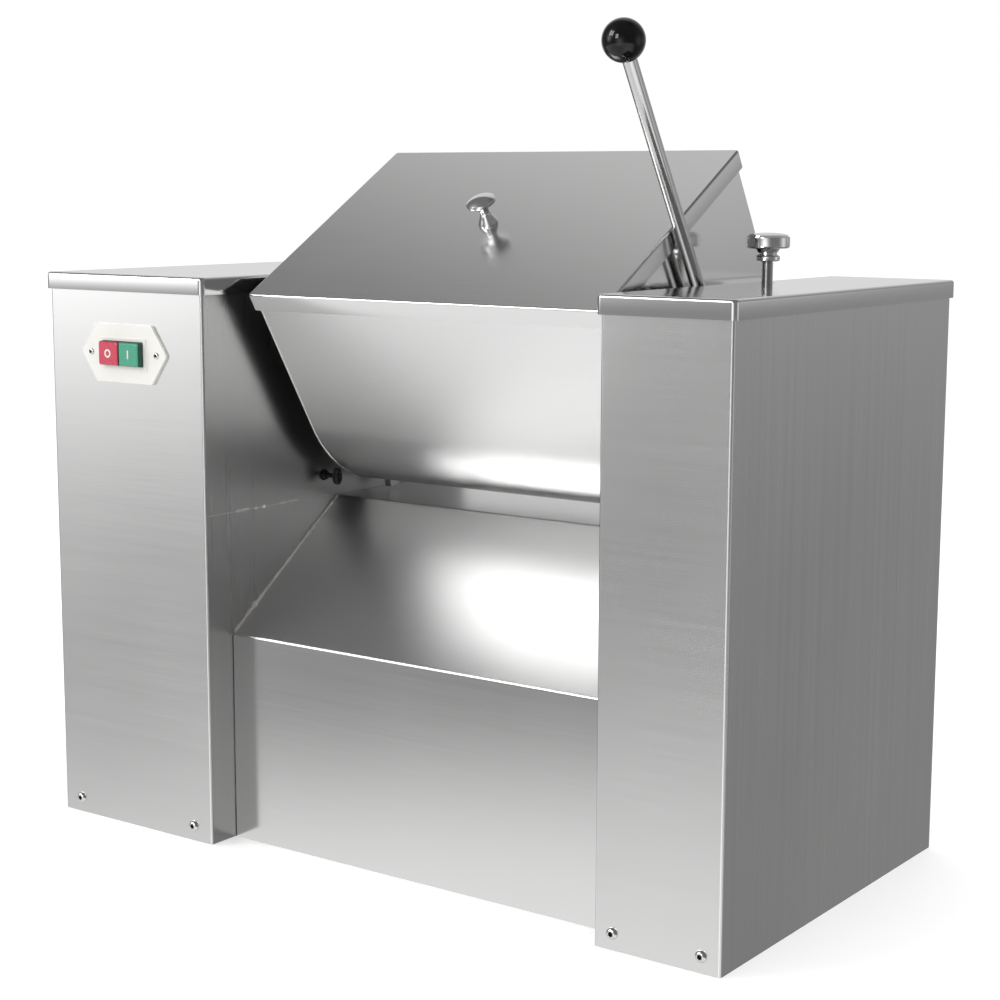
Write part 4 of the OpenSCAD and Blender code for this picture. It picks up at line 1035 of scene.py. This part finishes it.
def pane(aim, shift, half_wide, half_tall):
    """1 inside a window pane with soft edges, beside the direction of aim."""
    aim = Vector(aim).normalized()
    beside = aim.cross(Vector((0, 0, 1))).normalized()
    above = beside.cross(aim)
    wide = 1 - rise(offset(beside, shift), half_wide - SIDE_BLUR, half_wide + SIDE_BLUR)
    tall = 1 - rise(offset(above, 0), half_tall - END_BLUR, half_tall + END_BLUR)
    return wide * tall * towards(aim)


# Each glow has its direction, how narrow it is, and its strength.
GLOWS = [
    ((-0.62, -0.66, 0.42), 40, 1.10),
    ((-0.75, -0.65, 0.12), 110, 2.90),
    ((-0.60, -0.30, -0.74), 12, 0.20),
    ((0.18, -0.97, -0.13), 45, 1.25),
    ((0.50, 0.865, 0.03), 400, 0.40),
    ((-0.50, -0.86, -0.05), 60, 0.06),
    ((0.60, -0.32, -0.73), 30, 0.50),
    ((0.88, 0.45, -0.05), 40, 0.60),
    ((-0.60, 0.55, -0.58), 30, 0.60),
]
DIM = 0.18
mirrored = DIM
for direction, power, level in GLOWS:
    mirrored = mirrored + lobe(direction, power) * level
across = s.node("SeparateXYZ", None, {0: facing}, out=0)
along = s.node("SeparateXYZ", None, {0: facing}, out=1)
upward = s.node("SeparateXYZ", None, {0: facing}, out=2)
# A bright floor lies in front of the machine, and a paler wall stands behind it.
downward = -1 * upward
bright_floor = rise(downward, 0.24, 0.345) * rise(-1 * along - upward * 0.6, 0.0, 0.5)
floor_level = 0.85 - 0.2 * rise(downward, 0.4, 0.6)
mirrored = mirrored + bright_floor * floor_level
back_wall = rise(along, 0.30, 0.42) * rise(-1 * across, -0.7, 0.5)
mirrored = mirrored + back_wall * 0.55
WINDOW = (-0.565, -0.666, 0.470)
# Each pane has its direction, its shift to the side, half its width and height, and its strength.
PANES = [
    (WINDOW, -0.11, 0.08, 0.175, 8.5),
    (WINDOW, 0.11, 0.08, 0.175, 8.5),
    ((-0.06, -0.977, 0.288), 0.0, 0.12, 0.18, 8.0),
]
for aim, shift, half_wide, half_tall, level in PANES:
    mirrored = mirrored + pane(aim, shift, half_wide, half_tall) * level
DARK_SPOT = (0.22, 0.36, 0.90)
mirrored = mirrored * (1 - 0.8 * lobe(DARK_SPOT, 60))
AMBIENT = 0.90
strength = shown + (1 - shown) * (glossy_ray * mirrored + (1 - glossy_ray) * AMBIENT)
backdrop = s.node("Background", None, {"Color": (1, 1, 1, 1), "Strength": strength})
s.node("OutputWorld", None, {"Surface": backdrop})


def lamp(name, spot, aim, size, power):
    """A square soft lamp that faces a point. Metal shows the surround instead of it."""
    light = bpy.data.lights.new(name, "AREA")
    light.shape = "RECTANGLE"
    light.size, light.size_y = size
    light.energy = power
    holder = bpy.data.objects.new(name, light)
    holder.location = spot
    holder.rotation_euler = (Vector(aim) - Vector(spot)).to_track_quat("-Z", "Y").to_euler()
    holder.visible_glossy = False
    bpy.context.scene.collection.objects.link(holder)


lamp("key softbox", (-2.2, -2.4, 2.2), (0, 0, 0.4), (1.6, 1.6), 30)
lamp("top softbox", (0.3, 0.2, 3.0), (0, 0, 0.3), (2.0, 2.0), 20)

CAMERA_SPOT = (1.25601, -1.71802, 0.69497)
CAMERA_TURN = (81.0951, -0.1856, 35.8136)
CAMERA_LENS = 72.614
SENSOR = 36
view = bpy.data.cameras.new("photo view")
view.sensor_width = SENSOR
view.sensor_fit = "HORIZONTAL"
view.lens = CAMERA_LENS
view.clip_end = 100
camera = bpy.data.objects.new("photo view", view)
camera.location = CAMERA_SPOT
camera.rotation_euler = [math.radians(angle) for angle in CAMERA_TURN]
bpy.context.scene.collection.objects.link(camera)
bpy.context.scene.camera = camera
bpy.context.scene.view_settings.view_transform = "Standard"
